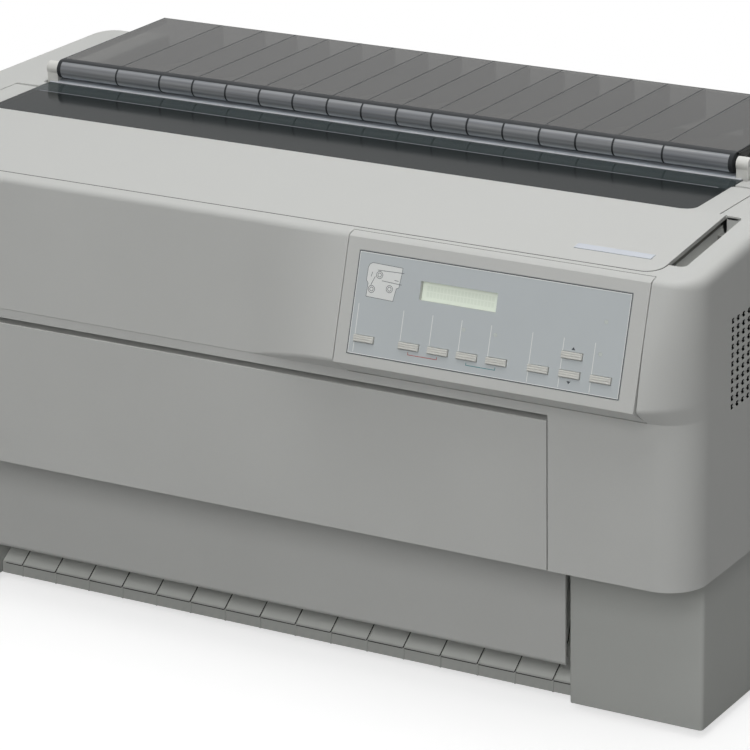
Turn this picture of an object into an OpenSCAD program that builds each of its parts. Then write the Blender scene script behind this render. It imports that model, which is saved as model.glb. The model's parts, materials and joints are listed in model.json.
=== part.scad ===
// Wide-carriage dot matrix printer with hinged covers, tractors, print carriage and paper feed train.
// Frame: +X to the right seen from the front, +Y to the rear, +Z up.
// Origin: centre of the footprint, on the surface that the rubber feet stand on.

/* [Body] */
// Overall width
body_w = 700; // [680:1:740]
// Overall depth, from the control panel's lowest edge to the rear face
body_d = 382; // [376:1:410]
// Height of the rubber feet under the case
foot_h = 6; // [4:0.5:10]
// Height of the lower case with its two pedestals
base_h = 111; // [108:1:125]
// Height of the upper case from its lower edge to its level top
case_h = 228; // [226:1:240]
// Wall thickness of the case mouldings
wall = 3; // [2:0.1:3.5]
// Radius of the front vertical corners
front_r = 29; // [20:1:36]
// Radius of the rear vertical corners
rear_r = 20; // [12:1:24]
// Radius of the long top edges
top_r = 5; // [3:0.5:7]
// How far the control panel's lower edge stands out of the front face
panel_bulge = 20; // [16:1:24]
// How far the front face leans back at its top edge
front_lean = 6; // [4:0.5:8]
// Slope of the top cover in degrees
cover_slope = 6; // [5:0.25:6.5]

/* [Lower case] */
// Distance from the front face back to the pedestal fronts
pedestal_setback = 34; // [28:1:40]
// Side step from the upper case in to the pedestal sides
pedestal_inset = 5; // [3:0.5:8]
// Width of a pedestal, from the side face to its inner face
pedestal_w = 106; // [104:0.5:110]
// Height of the paper guide's front lip
guide_lip_h = 8.6; // [7:0.2:11]
// Number of ribs on the lower paper guide
guide_ribs = 16; // [12:1:20]

/* [Front door and flap] */
// Distance from the panel's chin down to the front door
door_drop = 11; // [10:0.5:16]
// Gap around the covers
cover_gap = 0.8; // [0.4:0.1:1.2]
// Height of the finger groove above the door
groove_h = 4; // [3:0.5:6]
// Height of the flap's lower edge above the floor of the lower case
flap_clear = 27; // [24:1:34]
// Radius of the hinge pins of the covers
pin_r = 2; // [1.5:0.1:2.4]

/* [Top cover] */
// Distance from the side face to the top cover at its front
cover_margin = 34; // [32:0.5:38]
// Distance from the side face to the top cover beside the window
cover_rear_margin = 39; // [38:0.5:42]
// Distance from the side face to the smoked window
window_margin = 59; // [57:0.5:70]
// Thickness of the smoked sheets
sheet_t = 2.5; // [2:0.1:3]
// Distance from the side face to the badge plate's left edge
badge_margin = 105; // [100:1:170]
// Radius of the window's front corners
window_r = 9; // [5:0.5:14]

/* [Paper separator] */
// Distance from the side face to the separator
separator_margin = 66.6; // [65:0.2:72]
// Radius of the separator's rounded front lip
lip_r = 7.2; // [6.5:0.1:7.4]
// Height of the ribs under the separator at its rear edge
fin_h = 24; // [18:1:26]
// Thickness of a rib
fin_t = 1.6; // [1.2:0.1:2.2]
// Distance between the ribs
fin_pitch = 29.3; // [27:0.1:30]

/* [Control panel] */
// Width of the control panel housing
panel_w = 227.5; // [224:0.5:232]
// Distance from the side face to the housing's right edge
panel_margin = 32; // [30:0.5:38]
// Thickness of the printed overlay
overlay_t = 0.6; // [0.4:0.1:0.8]
// Length of a button cap
button_w = 15.2; // [13:0.1:15.6]
// Width of a button cap
button_h = 4.6; // [3.6:0.1:5]
// Travel of a button
button_travel = 1.2; // [0.8:0.1:1.4]

/* [Vent] */
// Rows of vent holes
vent_rows = 11; // [6:1:11]
// Columns of vent holes
vent_cols = 15; // [8:1:16]
// Distance between the rows
vent_row_pitch = 6.03; // [5.8:0.01:6.2]
// Distance between the columns
vent_col_pitch = 8.4; // [7:0.1:8.6]
// Size of a square vent hole
vent_hole = 3.8; // [2.5:0.1:4.2]

/* [Mechanism] */
// Distance from the side face to the inner face of a steel side frame
frame_margin = 94; // [92:0.5:98]
// Thickness of the steel plates
plate_t = 2; // [1.5:0.1:2.5]
// Radius of the platen
platen_r = 19; // [16:0.5:19.5]
// Radius of the platen shaft
platen_shaft_r = 5; // [4:0.5:6]
// Radius of the carriage guide shafts
guide_r = 6; // [4.5:0.5:6.5]
// Radius of the tractor shafts
tractor_shaft_r = 4; // [3:0.5:4.5]
// Radial clearance of a shaft in its bearing
run_fit = 0.05; // [0.02:0.01:0.09]
// Tooth size of the feed gears: pitch diameter over teeth
gear_module = 1.5; // [1.4:0.01:1.52]
// Width of the feed gears
gear_w = 8; // [6:0.5:10]
// Radius of the belt pulleys
pulley_r = 10; // [8:0.5:11]
// Side of the square cooling fan
fan_size = 80; // [70:1:84]

/* [Hidden] */
$fn = 64;
eps = 0.01;
z_base = foot_h;
z_case = foot_h + base_h;
z_top = z_case + case_h;
y_rear = body_d / 2;
y_front = panel_bulge - body_d / 2;
half_w = body_w / 2;
run_gap = 0.3;

// half widths of the pieces, all from the side faces inward
pedestal_x = half_w - pedestal_w;
cover_x = half_w - cover_margin;
cover_rear_x = half_w - cover_rear_margin;
window_x = half_w - window_margin;
badge_x = half_w - badge_margin;
separator_x = half_w - separator_margin;
panel_x1 = half_w - panel_margin;
panel_x0 = panel_x1 - panel_w;
frame_x = half_w - frame_margin;

// top surface: a slope that rises from the front edge and meets the level top
slope_len = 117;
y_flat = y_front + front_lean + slope_len;
z_edge = z_top - slope_len * tan(cover_slope);
z_chin = z_top - 109;
z_panel_low = z_chin + 12.6;

// ---- helpers ----

// extrudes a (y, z) outline along X
module along_x(x0, x1) {
  translate([x0, 0, 0]) rotate([90, 0, 90]) linear_extrude(x1 - x0) children();
}

// extrudes an (x, z) outline along Y
module along_y(y0, y1) {
  translate([0, y1, 0]) rotate([90, 0, 0]) linear_extrude(y1 - y0) children();
}

module box(x0, x1, y0, y1, z0, z1) {
  translate([x0, y0, z0]) cube([x1 - x0, y1 - y0, z1 - z0]);
}

module rod_x(x0, x1, y, z, r) {
  translate([x0, y, z]) rotate([0, 90, 0]) cylinder(r = r, h = x1 - x0);
}

module rod_y(y0, y1, x, z, r) {
  translate([x, y1, z]) rotate([90, 0, 0]) cylinder(r = r, h = y1 - y0);
}

module both_sides() {
  children();
  mirror([1, 0, 0]) children();
}

// plan outline with round corners: half width, front, rear, corner radii
module plan(x, y0, y1, rf, rr) {
  union() {
    translate([-x + rf, y0]) square([2 * (x - rf), y1 - y0]);
    translate([-x + rr, y1 - rr - eps]) square([2 * (x - rr), rr + eps]);
    translate([-x, y0 + rf]) square([2 * x, y1 - y0 - rf - rr]);
    for (s = [-1, 1]) {
      translate([s * (x - rf), y0 + rf]) circle(rf);
      translate([s * (x - rr), y1 - rr]) circle(rr);
    }
  }
}

function arc(cy, cz, r, a0, a1, n) = [for (i = [0:n]) [cy + r * cos(a0 + (a1 - a0) * i / n),
  cz + r * sin(a0 + (a1 - a0) * i / n)]];
function top_z(y) = z_top - max(0, y_flat - y) * tan(cover_slope);

// ---- derived places shared by several pieces ----

edge_r = 4;
y_edge = y_front + front_lean;
y_panel_low = -body_d / 2;
panel_tilt = atan((y_edge - y_panel_low) / (z_edge - z_panel_low));
y_ped = y_front + pedestal_setback;
ped_out = half_w - pedestal_inset;
base_rear = y_rear - pedestal_inset;
door_x = pedestal_x - 0.3;
door_top = z_chin - door_drop;
flap_x = pedestal_x - 3.6;
cover_y0 = y_edge + 12;
cover_y1 = y_flat + 65;
window_y1 = y_flat + 80;
lip_y = y_flat + 85;
lip_z = z_top + 10;
sep_y1 = y_rear - 10;
support_x0 = separator_x + 1.6;
support_x1 = support_x0 + 9.5;
hinge_r = 3.8;
hinge_y = cover_y1 - hinge_r;
hinge_z = z_top - hinge_r;
door_pin_y = y_front + 8;
door_pin_z = z_case + 6;
flap_pin_y = y_ped + wall + 4;
flap_pin_z = z_case + 14;
vent_y0 = y_front + 63.6;
vent_z0 = z_top - 112.7;
vent_margin = 6;
vent_len = (vent_cols - 1) * vent_col_pitch + vent_hole + 2 * vent_margin;
vent_high = (vent_rows - 1) * vent_row_pitch + vent_hole + 2 * vent_margin;
pocket_y0 = cover_y0 + 15;
pocket_y1 = y_flat - 1;
pocket_x1 = cover_x + 13;
pocket_z = z_edge - 12;

// rear panel with its inlet, switch and ports
rear_px0 = -200;
rear_px1 = 160;
inlet_x = -165;
inlet_z = z_base + 34;
switch_x = -118;
port_x = 70;
port_z = z_base + 30;
y_panel_rear = base_rear - wall - 0.8;

// places on the control panel: across, and down its face from the upper edge
overlay_x0 = panel_x0 + 9.5;
overlay_x1 = panel_x1 - 11.5;
overlay_s0 = 10;
overlay_s1 = 81;
lcd_x0 = panel_x0 + 59.5;
lcd_x1 = lcd_x0 + 58.5;
lcd_s0 = 24.4;
lcd_s1 = 37.3;
button_x = [for (d = [14.2, 49, 71.4, 93.5, 115.9, 147.2, 170.6, 170.6, 193.6]) panel_x0 + d];
button_s = [for (k = [0:8]) k == 6 ? 57 : 69.5];
lamps = [for (p = [[96, 52], [120, 52], [198.3, 53], [199.3, 31.4]]) [panel_x0 + p[0], p[1]]];
lamp_r = 1.4;
board_x0 = panel_x0 + 5.5;
board_x1 = panel_x1 - 6;
face_t = wall + 0.4;
board_n = -face_t - 10.6;
board_t = 1.6;

// mechanism
frame_top = z_top - 23;
platen_y = lip_y + 21;
platen_z = z_top - 33;
platen_x = frame_x - 4;
guide_z = z_top - 60;
guide_ys = [platen_y - 106, platen_y - 54];
head_top = z_top - 27;
ribbon_z = z_top - 49;
belt_y = guide_ys[0] + 26;
belt_z = guide_z - 23;
belt_x = frame_x - 28;
motor_shaft_r = 4;
axle_r = 5;
gear_x0 = frame_x + plate_t + 4;
gear_x1 = gear_x0 + gear_w;
platen_teeth = 32;
idler_teeth = 50;
shaft_teeth = 24;
pinion_teeth = 12;
feed_dir = 216.2;
rear_dir = -20;
pinion_dir = -75;
platen_phase = feed_dir;
function mesh(a, b) = gear_module * (a + b) / 2;
function step(p, dir, d) = [p[0] + d * cos(dir), p[1] + d * sin(dir)];
platen_c = [platen_y, platen_z];
upper_idler_c = step(platen_c, feed_dir, mesh(platen_teeth, idler_teeth));
lower_idler_c = step(upper_idler_c, feed_dir, mesh(idler_teeth, idler_teeth));
front_shaft_c = step(lower_idler_c, feed_dir, mesh(idler_teeth, shaft_teeth));
rear_idler_c = step(platen_c, rear_dir, mesh(platen_teeth, shaft_teeth));
rear_shaft_c = step(rear_idler_c, rear_dir, mesh(shaft_teeth, shaft_teeth));
pinion_c = step(upper_idler_c, pinion_dir, mesh(idler_teeth, pinion_teeth));
motor_y = pinion_c[0];
motor_z = pinion_c[1];
upper_idler_phase = mesh_phase(platen_phase, platen_teeth, feed_dir, idler_teeth);
lower_idler_phase = mesh_phase(upper_idler_phase, idler_teeth, feed_dir, idler_teeth);
front_shaft_phase = mesh_phase(lower_idler_phase, idler_teeth, feed_dir, shaft_teeth);
rear_idler_phase = mesh_phase(platen_phase, platen_teeth, rear_dir, shaft_teeth);
rear_shaft_phase = mesh_phase(rear_idler_phase, shaft_teeth, rear_dir, shaft_teeth);
pinion_phase = mesh_phase(upper_idler_phase, idler_teeth, pinion_dir, pinion_teeth);
rail_drop = 30;
front_rail_c = [front_shaft_c[0], front_shaft_c[1] + rail_drop];
rear_rail_c = [rear_shaft_c[0], rear_shaft_c[1] - rail_drop];
tractor_x = 150;
frame_holes = concat(
  [[platen_y, platen_z, platen_shaft_r + run_fit]],
  [for (c = [front_shaft_c, rear_shaft_c]) [c[0], c[1], tractor_shaft_r + run_fit]],
  [for (c = [front_rail_c, rear_rail_c]) [c[0], c[1], tractor_shaft_r]],
  [for (y = guide_ys) [y, guide_z, guide_r]]);
fan_y = vent_y0 + 56;
fan_z = vent_z0 + 30;
fan_x1 = half_w - wall - run_gap;
fan_x0 = fan_x1 - 25;

// ---- case mouldings ----

// side outline of the upper case, moved in by t
module case_side(t) {
  cz = top_z(y_edge + edge_r) - edge_r;
  r = max(edge_r - t, 0.8);
  polygon(concat(
    [[y_front + t, z_case - (t > 0 ? 1 : 0)], [y_front + t, z_chin]],
    arc(y_edge + edge_r + t * 0.1, cz, r, 176, 90 + cover_slope, 6),
    [[y_flat, z_top - t]],
    arc(y_rear - t - edge_r, z_top - t - edge_r, edge_r, 90, 0, 6),
    [[y_rear - t, z_case - (t > 0 ? 1 : 0)]]));
}

module case_block(t) {
  difference() {
    intersection() {
      translate([0, 0, z_case - 2])
        linear_extrude(case_h + 4)
          plan(half_w - t, y_front + t, y_rear - t, front_r - t, rear_r - t);
      along_x(-half_w - 1, half_w + 1) case_side(t);
    }
    if (t == 0) both_sides() {
      long_edge_cut(y_flat - 0.2, y_rear + 1);
      translate([0, y_flat, z_top]) rotate([cover_slope, 0, 0]) translate([0, -y_flat, -z_top])
        long_edge_cut(y_front - 20, y_flat + 0.2);
    }
  }
}

// what lies outside the rounding of a long top edge
module long_edge_cut(y0, y1) {
  along_y(y0, y1) polygon(concat(
    [[half_w + 2, z_top - top_r], [half_w + 2, z_top + 2], [half_w - top_r, z_top + 2]],
    arc(half_w - top_r, z_top - top_r, top_r, 90, 0, 8)));
}

// outline of the swell that carries the control panel; f is 1 at the panel and 0 where it has faded out
function swell_points(f) = [[y_edge + 12, z_edge - 6], [y_edge + 0.2, z_edge - 3],
  [y_front - panel_bulge * f, z_chin + (z_panel_low - z_chin) * f], [y_front + 0.5, z_chin - 1],
  [y_front + front_r, z_chin - 1]];

module swell() {
  union() {
    intersection() {
      box(panel_x0 - 2, half_w + 1, y_panel_low - 1, y_front + front_r - 1, z_case, z_top);
      swell_corner();
    }
    swell_fade();
  }
}

// at the right the swell wraps round the corner and runs out on the side face
module swell_corner() {
  levels = [[z_chin - 1, y_front + 0.5], [z_panel_low, y_panel_low], [z_edge - 3, y_edge + 0.2]];
  hull() for (level = levels)
    translate([0, 0, level[0]]) linear_extrude(eps)
      plan(half_w, level[1], y_front + front_r + 30, y_front + front_r - level[1], 1);
}

// left of the panel the swell fades out in a smooth curve
module swell_fade() {
  steps = 8;
  x0 = panel_x0 - 88;
  x1 = panel_x0 - 1.9;
  points = [for (i = [0:steps]) let (u = i / steps, f = 0.015 + 0.985 * u * u * (3 - 2 * u))
    for (p = swell_points(f)) [x0 + (x1 - x0) * u, p[0], p[1]]];
  sides = [for (i = [0:steps - 1], j = [0:4]) let (a = i * 5 + j, b = i * 5 + (j + 1) % 5)
    each [[a, a + 5, b], [b, a + 5, b + 5]]];
  polyhedron(points, concat([[0, 1, 2], [0, 2, 3], [0, 3, 4]],
    [for (t = [[2, 1, 0], [3, 2, 0], [4, 3, 0]]) [for (k = t) k + steps * 5]], sides));
}

// plan outline of the opening for the top cover, wider than the cover by g
module cover_outline(g) {
  r = 13;
  union() {
    translate([-cover_x - g, cover_y0 - g + r]) square([2 * (cover_x + g), y_flat - cover_y0 - r + g]);
    translate([-cover_x - g + r, cover_y0 - g]) square([2 * (cover_x + g - r), 2 * r]);
    for (s = [-1, 1]) translate([s * (cover_x + g - r), cover_y0 - g + r]) circle(r);
    translate([-cover_rear_x - g, y_flat]) square([2 * (cover_rear_x + g), cover_y1 - y_flat + g]);
  }
}

module main_case() {
  well_x = separator_x + 2;
  color("lightgray")
  difference() {
    union() {
      difference() {
        union() {
          case_block(0);
          swell();
        }
        difference() {
          case_block(wall);
          box(-half_w, half_w, y_front, y_rear, z_case - 2, z_case + wall);
        }
        intersection() {
          translate([0, wall, 0]) swell();
          translate([0, 0, z_case]) linear_extrude(case_h)
            plan(half_w - wall, y_panel_low, y_rear, front_r, rear_r);
        }
      }
      case_ledges();
    }
    // top cover, window and the well under the separator
    translate([0, 0, pocket_z - 30]) linear_extrude(80) cover_outline(cover_gap);
    box(-well_x, well_x, cover_y1 - 1, y_rear + 1, z_top - 19, z_top + 1);
    both_sides() {
      box(well_x - 1, window_x + cover_gap, cover_y1 - 1, lip_y - 4, z_top - 11, z_top + 1);
      box(well_x - 1, support_x1 + 1, lip_y - 8, lip_y + 9, z_top - 11, z_top + 1);
    }
    // front door with its finger groove
    box(-door_x - cover_gap, door_x + cover_gap, y_front - 1, y_front + wall + 0.5, z_case - 1,
      door_top + groove_h);
    box(-door_x - cover_gap, door_x + cover_gap, y_front - 1, y_ped - 10, z_case - 1, z_case + wall + eps);
    // room for the hanging flap, the base plate and the mechanism
    box(-pedestal_x, pedestal_x, y_ped - 11, y_rear - 30, z_case - 1, z_case + wall + eps);
    box(-half_w + 48, half_w - 48, y_ped + 76, base_rear - 5, z_case - 1, z_case + wall + eps);
    // control panel housing
    box(panel_x0 - 0.4, panel_x1 + 0.4, y_panel_low - 1, y_edge + 7, z_chin - 0.4, z_edge + 3);
    // finger pocket beside the cover
    translate([0, 0, pocket_z]) linear_extrude(40) pocket_outline(4);
    // window for the vent panel
    box(half_w - wall - 1, half_w + 1, vent_y0 - vent_hole / 2 - vent_margin,
      vent_y0 - vent_hole / 2 - vent_margin + vent_len, vent_z0 - vent_hole / 2 - vent_margin,
      vent_z0 - vent_hole / 2 - vent_margin + vent_high);
    both_sides() rod_x(cover_rear_x - 5, cover_rear_x + 5, hinge_y, hinge_z, pin_r);
    rod_x(-door_x - 20, door_x + 20, door_pin_y, door_pin_z, pin_r);
    rod_x(-pedestal_x - 7, pedestal_x + 7, flap_pin_y, flap_pin_z, pin_r);
  }
}

module pocket_outline(r) {
  x0 = cover_x - 2;
  translate([x0, pocket_y0]) square([pocket_x1 - r - x0, pocket_y1 - pocket_y0]);
  translate([x0, pocket_y0 + r]) square([pocket_x1 - x0, pocket_y1 - pocket_y0 - 2 * r]);
  for (y = [pocket_y0 + r, pocket_y1 - r]) translate([pocket_x1 - r, y]) circle(r);
}

// shelves, stops and bosses inside the upper case
module case_ledges() {
  // stop behind the door's upper edge, and the floor of the finger groove
  box(-door_x - 4, door_x + 4, y_front + wall, y_front + 11, door_top + groove_h, door_top + groove_h + wall);
  box(-door_x - 4, door_x + 4, y_front + 8, y_front + 11, door_top - 6, door_top + groove_h + 1);
  both_sides() {
    // lugs for the hinge pins of door and flap
    box(pedestal_x + 1, pedestal_x + 6, y_front + wall - eps, y_front + 14, z_case + wall - eps, z_case + 12);
    box(pedestal_x + 1, pedestal_x + 6, flap_pin_y - 6, flap_pin_y + 8, z_case + wall - eps, flap_pin_z + 6);
    // rest pad on the rear wall under the separator's outermost rib
    box(separator_x - 58.5, separator_x - 49.5, sep_y1 - 7, y_rear - wall + 0.5, z_top - 22,
      lip_z + lip_r - fin_h - run_gap);
    // shelf that carries the separator's pivot support, and the ear for the cover's hinge pin
    box(frame_x + plate_t + 2, half_w - wall + 1, lip_y - 3.6, lip_y + 8, z_top - 14, z_top - 11);
    box(cover_rear_x + cover_gap, cover_rear_x + 7, hinge_y - 5, hinge_y + 6, hinge_z - 6, z_top - wall + 1);
  }
  // walls of the finger pocket
  box(cover_x + 1, pocket_x1 + 2, pocket_y0 - 2, pocket_y1 + 2, pocket_z - 2, top_z(pocket_y0) - 2);
}

// panel of square vent holes, each row joined by a fine groove
module side_vent() {
  y0 = vent_y0 - vent_hole / 2 - vent_margin + 0.1;
  z0 = vent_z0 - vent_hole / 2 - vent_margin + 0.1;
  color("lightgray")
  difference() {
    box(half_w - wall, half_w, y0, y0 + vent_len - 0.2, z0, z0 + vent_high - 0.2);
    for (row = [0:vent_rows - 1]) {
      z = vent_z0 + row * vent_row_pitch;
      box(half_w - 0.6, half_w + 1, vent_y0 - 2, vent_y0 + (vent_cols - 1) * vent_col_pitch + 2, z - 0.5, z + 0.5);
      for (col = [0:vent_cols - 1])
        translate([half_w - wall - 1, vent_y0 + col * vent_col_pitch - vent_hole / 2, z - vent_hole / 2])
          cube([wall + 2, vent_hole, vent_hole]);
    }
  }
}

// lower case: open tray with a hollow pedestal at each side
module base_case() {
  color("darkgray")
  difference() {
    union() {
      translate([0, 0, z_base]) linear_extrude(wall)
        plan(ped_out, y_ped, base_rear, 3, rear_r - pedestal_inset);
      difference() {
        translate([0, 0, z_base]) linear_extrude(base_h - 0.2)
          plan(ped_out, y_ped, base_rear, 3, rear_r - pedestal_inset);
        translate([0, 0, z_base - 1]) linear_extrude(base_h + 2)
          plan(ped_out - wall, y_ped + wall, base_rear - wall, 1, rear_r - pedestal_inset - wall);
        box(-pedestal_x, pedestal_x, y_ped - 1, y_ped + 30, z_base - 1, z_case + 1);
      }
      both_sides() box(pedestal_x, pedestal_x + wall, y_ped, base_rear - 1, z_base, z_case - 0.2);
      // cross wall behind the paper path, up to the base plate
      box(-pedestal_x - 1, pedestal_x + 1, y_ped + 78, y_ped + 78 + wall, z_base, z_case - 0.2);
    }
    // recess for the rear panel
    box(rear_px0, rear_px1, base_rear - wall - 1, base_rear + 1, z_base + 12, z_case - 12);
    // the floor starts behind the guide's lip
    box(-pedestal_x, pedestal_x, y_ped - 1, y_ped + 14, z_base - 1, z_base + wall + 1);
  }
}

// ---- covers and paper guides ----

module rear_panel() {
  y0 = base_rear - wall - 0.8;
  color("silver")
  difference() {
    box(rear_px0 + 0.2, rear_px1 - 0.2, y0, y0 + 1.5, z_base + 12.2, z_case - 12.2);
    box(inlet_x - 14, inlet_x + 14, y0 - 1, y0 + 3, inlet_z - 10.2, inlet_z + 10.2);
    box(switch_x - 10.2, switch_x + 10.2, y0 - 1, y0 + 3, inlet_z - 7.2, inlet_z + 7.2);
    box(port_x - 29, port_x + 29, y0 - 1, y0 + 3, port_z - 6, port_z + 6);
    box(port_x - 63, port_x - 50, y0 - 1, y0 + 3, port_z - 6, port_z + 6);
  }
}

module cover_side(t) {
  polygon([[cover_y0 - 1, top_z(cover_y0 - 1) - t], [cover_y0 - 1, top_z(cover_y0 - 1)], [y_flat, z_top],
    [cover_y1, z_top], [cover_y1, z_top - t], [y_flat, z_top - t]]);
}

module top_cover() {
  ledge = 4;
  color("lightgray")
  difference() {
    union() {
      intersection() {
        along_x(-cover_x, cover_x) cover_side(wall);
        linear_extrude(z_top + 1) cover_outline(0);
        box(-cover_x, cover_x, cover_y0, hinge_y, 0, z_top + 1);
      }
      // skirt inside the front edge and along the sides
      box(-cover_x + 16, cover_x - 16, cover_y0 + 4, cover_y0 + 6,
        top_z(cover_y0 + 4) - 9, top_z(cover_y0 + 4) - 1);
      both_sides() {
        box(window_x + 2, window_x + 4, y_flat, hinge_y, z_top - 7, z_top - 1);
        rod_x(window_x + 1, cover_rear_x, hinge_y, hinge_z, hinge_r);
      }
      // stiffening ribs under the front panel
      for (x = [-240:80:240]) along_x(x - 1, x + 1)
        polygon([[cover_y0 + 5, top_z(cover_y0 + 5) - 8], [cover_y0 + 5, top_z(cover_y0 + 5) - 1],
          [y_flat - 1, z_top - 1], [y_flat - 1, z_top - 7]]);
    }
    // window opening with the ledge that the sheet lies on
    box(-window_x + ledge, window_x - ledge, y_flat + ledge, window_y1 + 1, z_top - 20, z_top + 1);
    translate([0, 0, z_top - sheet_t]) linear_extrude(sheet_t + 1) window_outline(0.1);
    both_sides() rod_x(cover_rear_x - 12, cover_rear_x + 1, hinge_y, hinge_z, pin_r + run_fit);
    badge_block(0.4, 0.1);
  }
}

// room for the bare badge plate on the sloping part of the cover
module badge_block(depth, g) {
  y = cover_y0 + 19;
  translate([badge_x, y, top_z(y)]) rotate([cover_slope, 0, 0])
    translate([-g, -g, -depth]) cube([57 + 2 * g, 7.4 + 2 * g, depth + 0.3]);
}

module badge_plate() {
  color("gainsboro") badge_block(0.4, 0);
}

module cover_window() {
  color([0.25, 0.26, 0.26, 0.6])
  translate([0, 0, z_top - sheet_t]) linear_extrude(sheet_t) window_outline(0);
}

// plan outline of the window, wider by g
module window_outline(g) {
  union() {
    translate([-window_x - g, y_flat + window_r]) square([2 * (window_x + g), window_y1 - y_flat - window_r]);
    translate([-window_x + window_r, y_flat - g]) square([2 * (window_x - window_r), window_r + g + eps]);
    for (s = [-1, 1]) translate([s * (window_x - window_r), y_flat + window_r]) circle(window_r + g);
  }
}

// catch post in the finger pocket
module cover_catch() {
  x = pocket_x1 - 6;
  color("gray")
  difference() {
    box(x - 5, x + 1, pocket_y1 - 17, pocket_y1 - 10, pocket_z, pocket_z + 15);
    box(x - 6, x - 2, pocket_y1 - 18, pocket_y1 - 9, pocket_z + 6, pocket_z + 10);
  }
}

module front_cover() {
  color("darkgray")
  difference() {
    union() {
      box(-door_x, door_x, y_front, y_front + wall, z_case, door_top);
      both_sides() {
        box(door_x - 3, door_x - 1, y_front + wall - eps, y_front + 10, z_case + 12, door_top - 10);
        hull() {
          rod_x(door_x - 9, door_x - 5, door_pin_y, door_pin_z, 4.5, $fn = 32);
          box(door_x - 9, door_x - 5, y_front + wall - 0.5, y_front + wall, door_pin_z - 4, door_pin_z + 7);
        }
      }
      // stiffening ribs and the pull edge at the top
      for (z = [z_case + 30, z_case + 60])
        box(-door_x + 3, door_x - 3, y_front + wall - eps, y_front + 7, z, z + 2);
      box(-door_x + 3, door_x - 3, y_front + wall - eps, y_front + 7, door_top - 12, door_top - 10);
    }
    both_sides() rod_x(door_x - 10, door_x - 4, door_pin_y, door_pin_z, pin_r + run_fit);
    // step along the upper edge that the fingers pull on
    box(-door_x + 2, door_x - 2, y_front + 1.4, y_front + wall + 1, door_top - 4, door_top + 1);
  }
}

module lower_flap() {
  z0 = z_base + flap_clear;
  color("darkgray")
  difference() {
    union() {
      box(-flap_x, flap_x, y_ped, y_ped + wall, z0 + 3, flap_pin_z - 4);
      box(-flap_x, flap_x, y_ped + wall - 1, y_ped + wall, z0, z0 + 4);
      rod_x(-flap_x, flap_x, y_ped + wall, z0 + wall, wall);
      both_sides() hull() {
        rod_x(flap_x - 8, flap_x - 4, flap_pin_y, flap_pin_z, 4.5, $fn = 32);
        box(flap_x - 8, flap_x - 4, y_ped + wall - 0.5, y_ped + wall, flap_pin_z - 16, flap_pin_z - 4);
      }
      for (x = [-160:80:160]) box(x - 1, x + 1, y_ped + wall - eps, y_ped + wall + 4, z0 + 8, flap_pin_z - 6);
    }
    both_sides() rod_x(flap_x - 9, flap_x - 3, flap_pin_y, flap_pin_z, pin_r + run_fit);
  }
}

// sheet that leads the paper in under the flap and up towards the front tractors
module front_paper_guide() {
  y0 = y_ped + 11;
  z1 = z_base + guide_lip_h;
  x = pedestal_x - 0.4;
  color("gray")
  union() {
    along_x(-x, x) polygon([[y0, z_base], [y0, z1], [y0 + 12, z1 + 8], [y0 + 24, z1 + 21], [y0 + 32, z1 + 47],
      [y0 + 34, z_case - 5], [y_ped + 78, z_case - 5], [y_ped + 78, z_case - 7.5], [y0 + 36.5, z_case - 7.5],
      [y0 + 34.5, z1 + 46], [y0 + 26, z1 + 19], [y0 + 13, z1 + 5.6], [y0 + 2.5, z1 - 1.5], [y0 + 2.5, z_base]]);
    for (i = [0:guide_ribs - 1]) {
      rx = (pedestal_x - 19) * (2 * i / (guide_ribs - 1) - 1);
      along_x(rx - 0.7, rx + 0.7) polygon([[y0 - 0.8, z_base], [y0 - 0.8, z1 + 0.4], [y0 + 11.4, z1 + 9],
        [y0 + 22.8, z1 + 21.6], [y0 + 30.6, z1 + 47], [y0 + 32.6, z_case - 5.2], [y0 + 35, z_case - 6],
        [y0 + 33, z1 + 46], [y0 + 25, z1 + 20.5], [y0 + 13, z1 + 7], [y0 + 1, z1 - 1], [y0 + 1, z_base]]);
    }
  }
}

module paper_separator() {
  plate_z = lip_z + lip_r;
  ribs = [for (i = [0:6]) (i + 0.5) * fin_pitch, separator_x - 54];
  color([0.35, 0.37, 0.38, 0.5])
  difference() {
    union() {
      rod_x(-separator_x, separator_x, lip_y, lip_z, lip_r);
      box(-separator_x, separator_x, lip_y, sep_y1, plate_z - sheet_t, plate_z);
      for (s = [-1, 1], x = ribs) along_x(s * x - fin_t / 2, s * x + fin_t / 2)
        polygon([[lip_y, plate_z - 1], [sep_y1, plate_z - 1], [sep_y1, plate_z - fin_h],
          [sep_y1 - 12, plate_z - fin_h], [lip_y + lip_r + 4, lip_z], [lip_y, lip_z]]);
      both_sides() box(separator_x - 2, separator_x, lip_y, sep_y1, plate_z - 6, plate_z - 1);
    }
    // hollow lip between its rings, and the pivot holes in its ends
    difference() {
      rod_x(-separator_x + 8, separator_x - 8, lip_y, lip_z, lip_r - sheet_t);
      for (s = [-1, 1], x = ribs)
        rod_x(s * x - fin_t / 2, s * x + fin_t / 2, lip_y, lip_z, lip_r);
    }
    both_sides() rod_x(separator_x - 7, separator_x + 1, lip_y, lip_z, pin_r + run_fit);
  }
}

module separator_pivots() {
  color("whitesmoke")
  both_sides() difference() {
    union() {
      box(support_x0, support_x1, lip_y - 4, lip_y + 5, z_top - 11, lip_z);
      rod_x(support_x0, support_x1, lip_y, lip_z, 5);
      box(support_x0, support_x1, lip_y - 4, lip_y + 8, z_top - 11, z_top - 8);
    }
    rod_x(support_x0 - 1, support_x1 + 1, lip_y, lip_z, pin_r);
  }
}

module feet() {
  color("black")
  both_sides() for (y = [y_ped + 30, base_rear - 30])
    translate([(pedestal_x + ped_out) / 2, y, 0]) cylinder(r = 14, h = foot_h);
}

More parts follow.
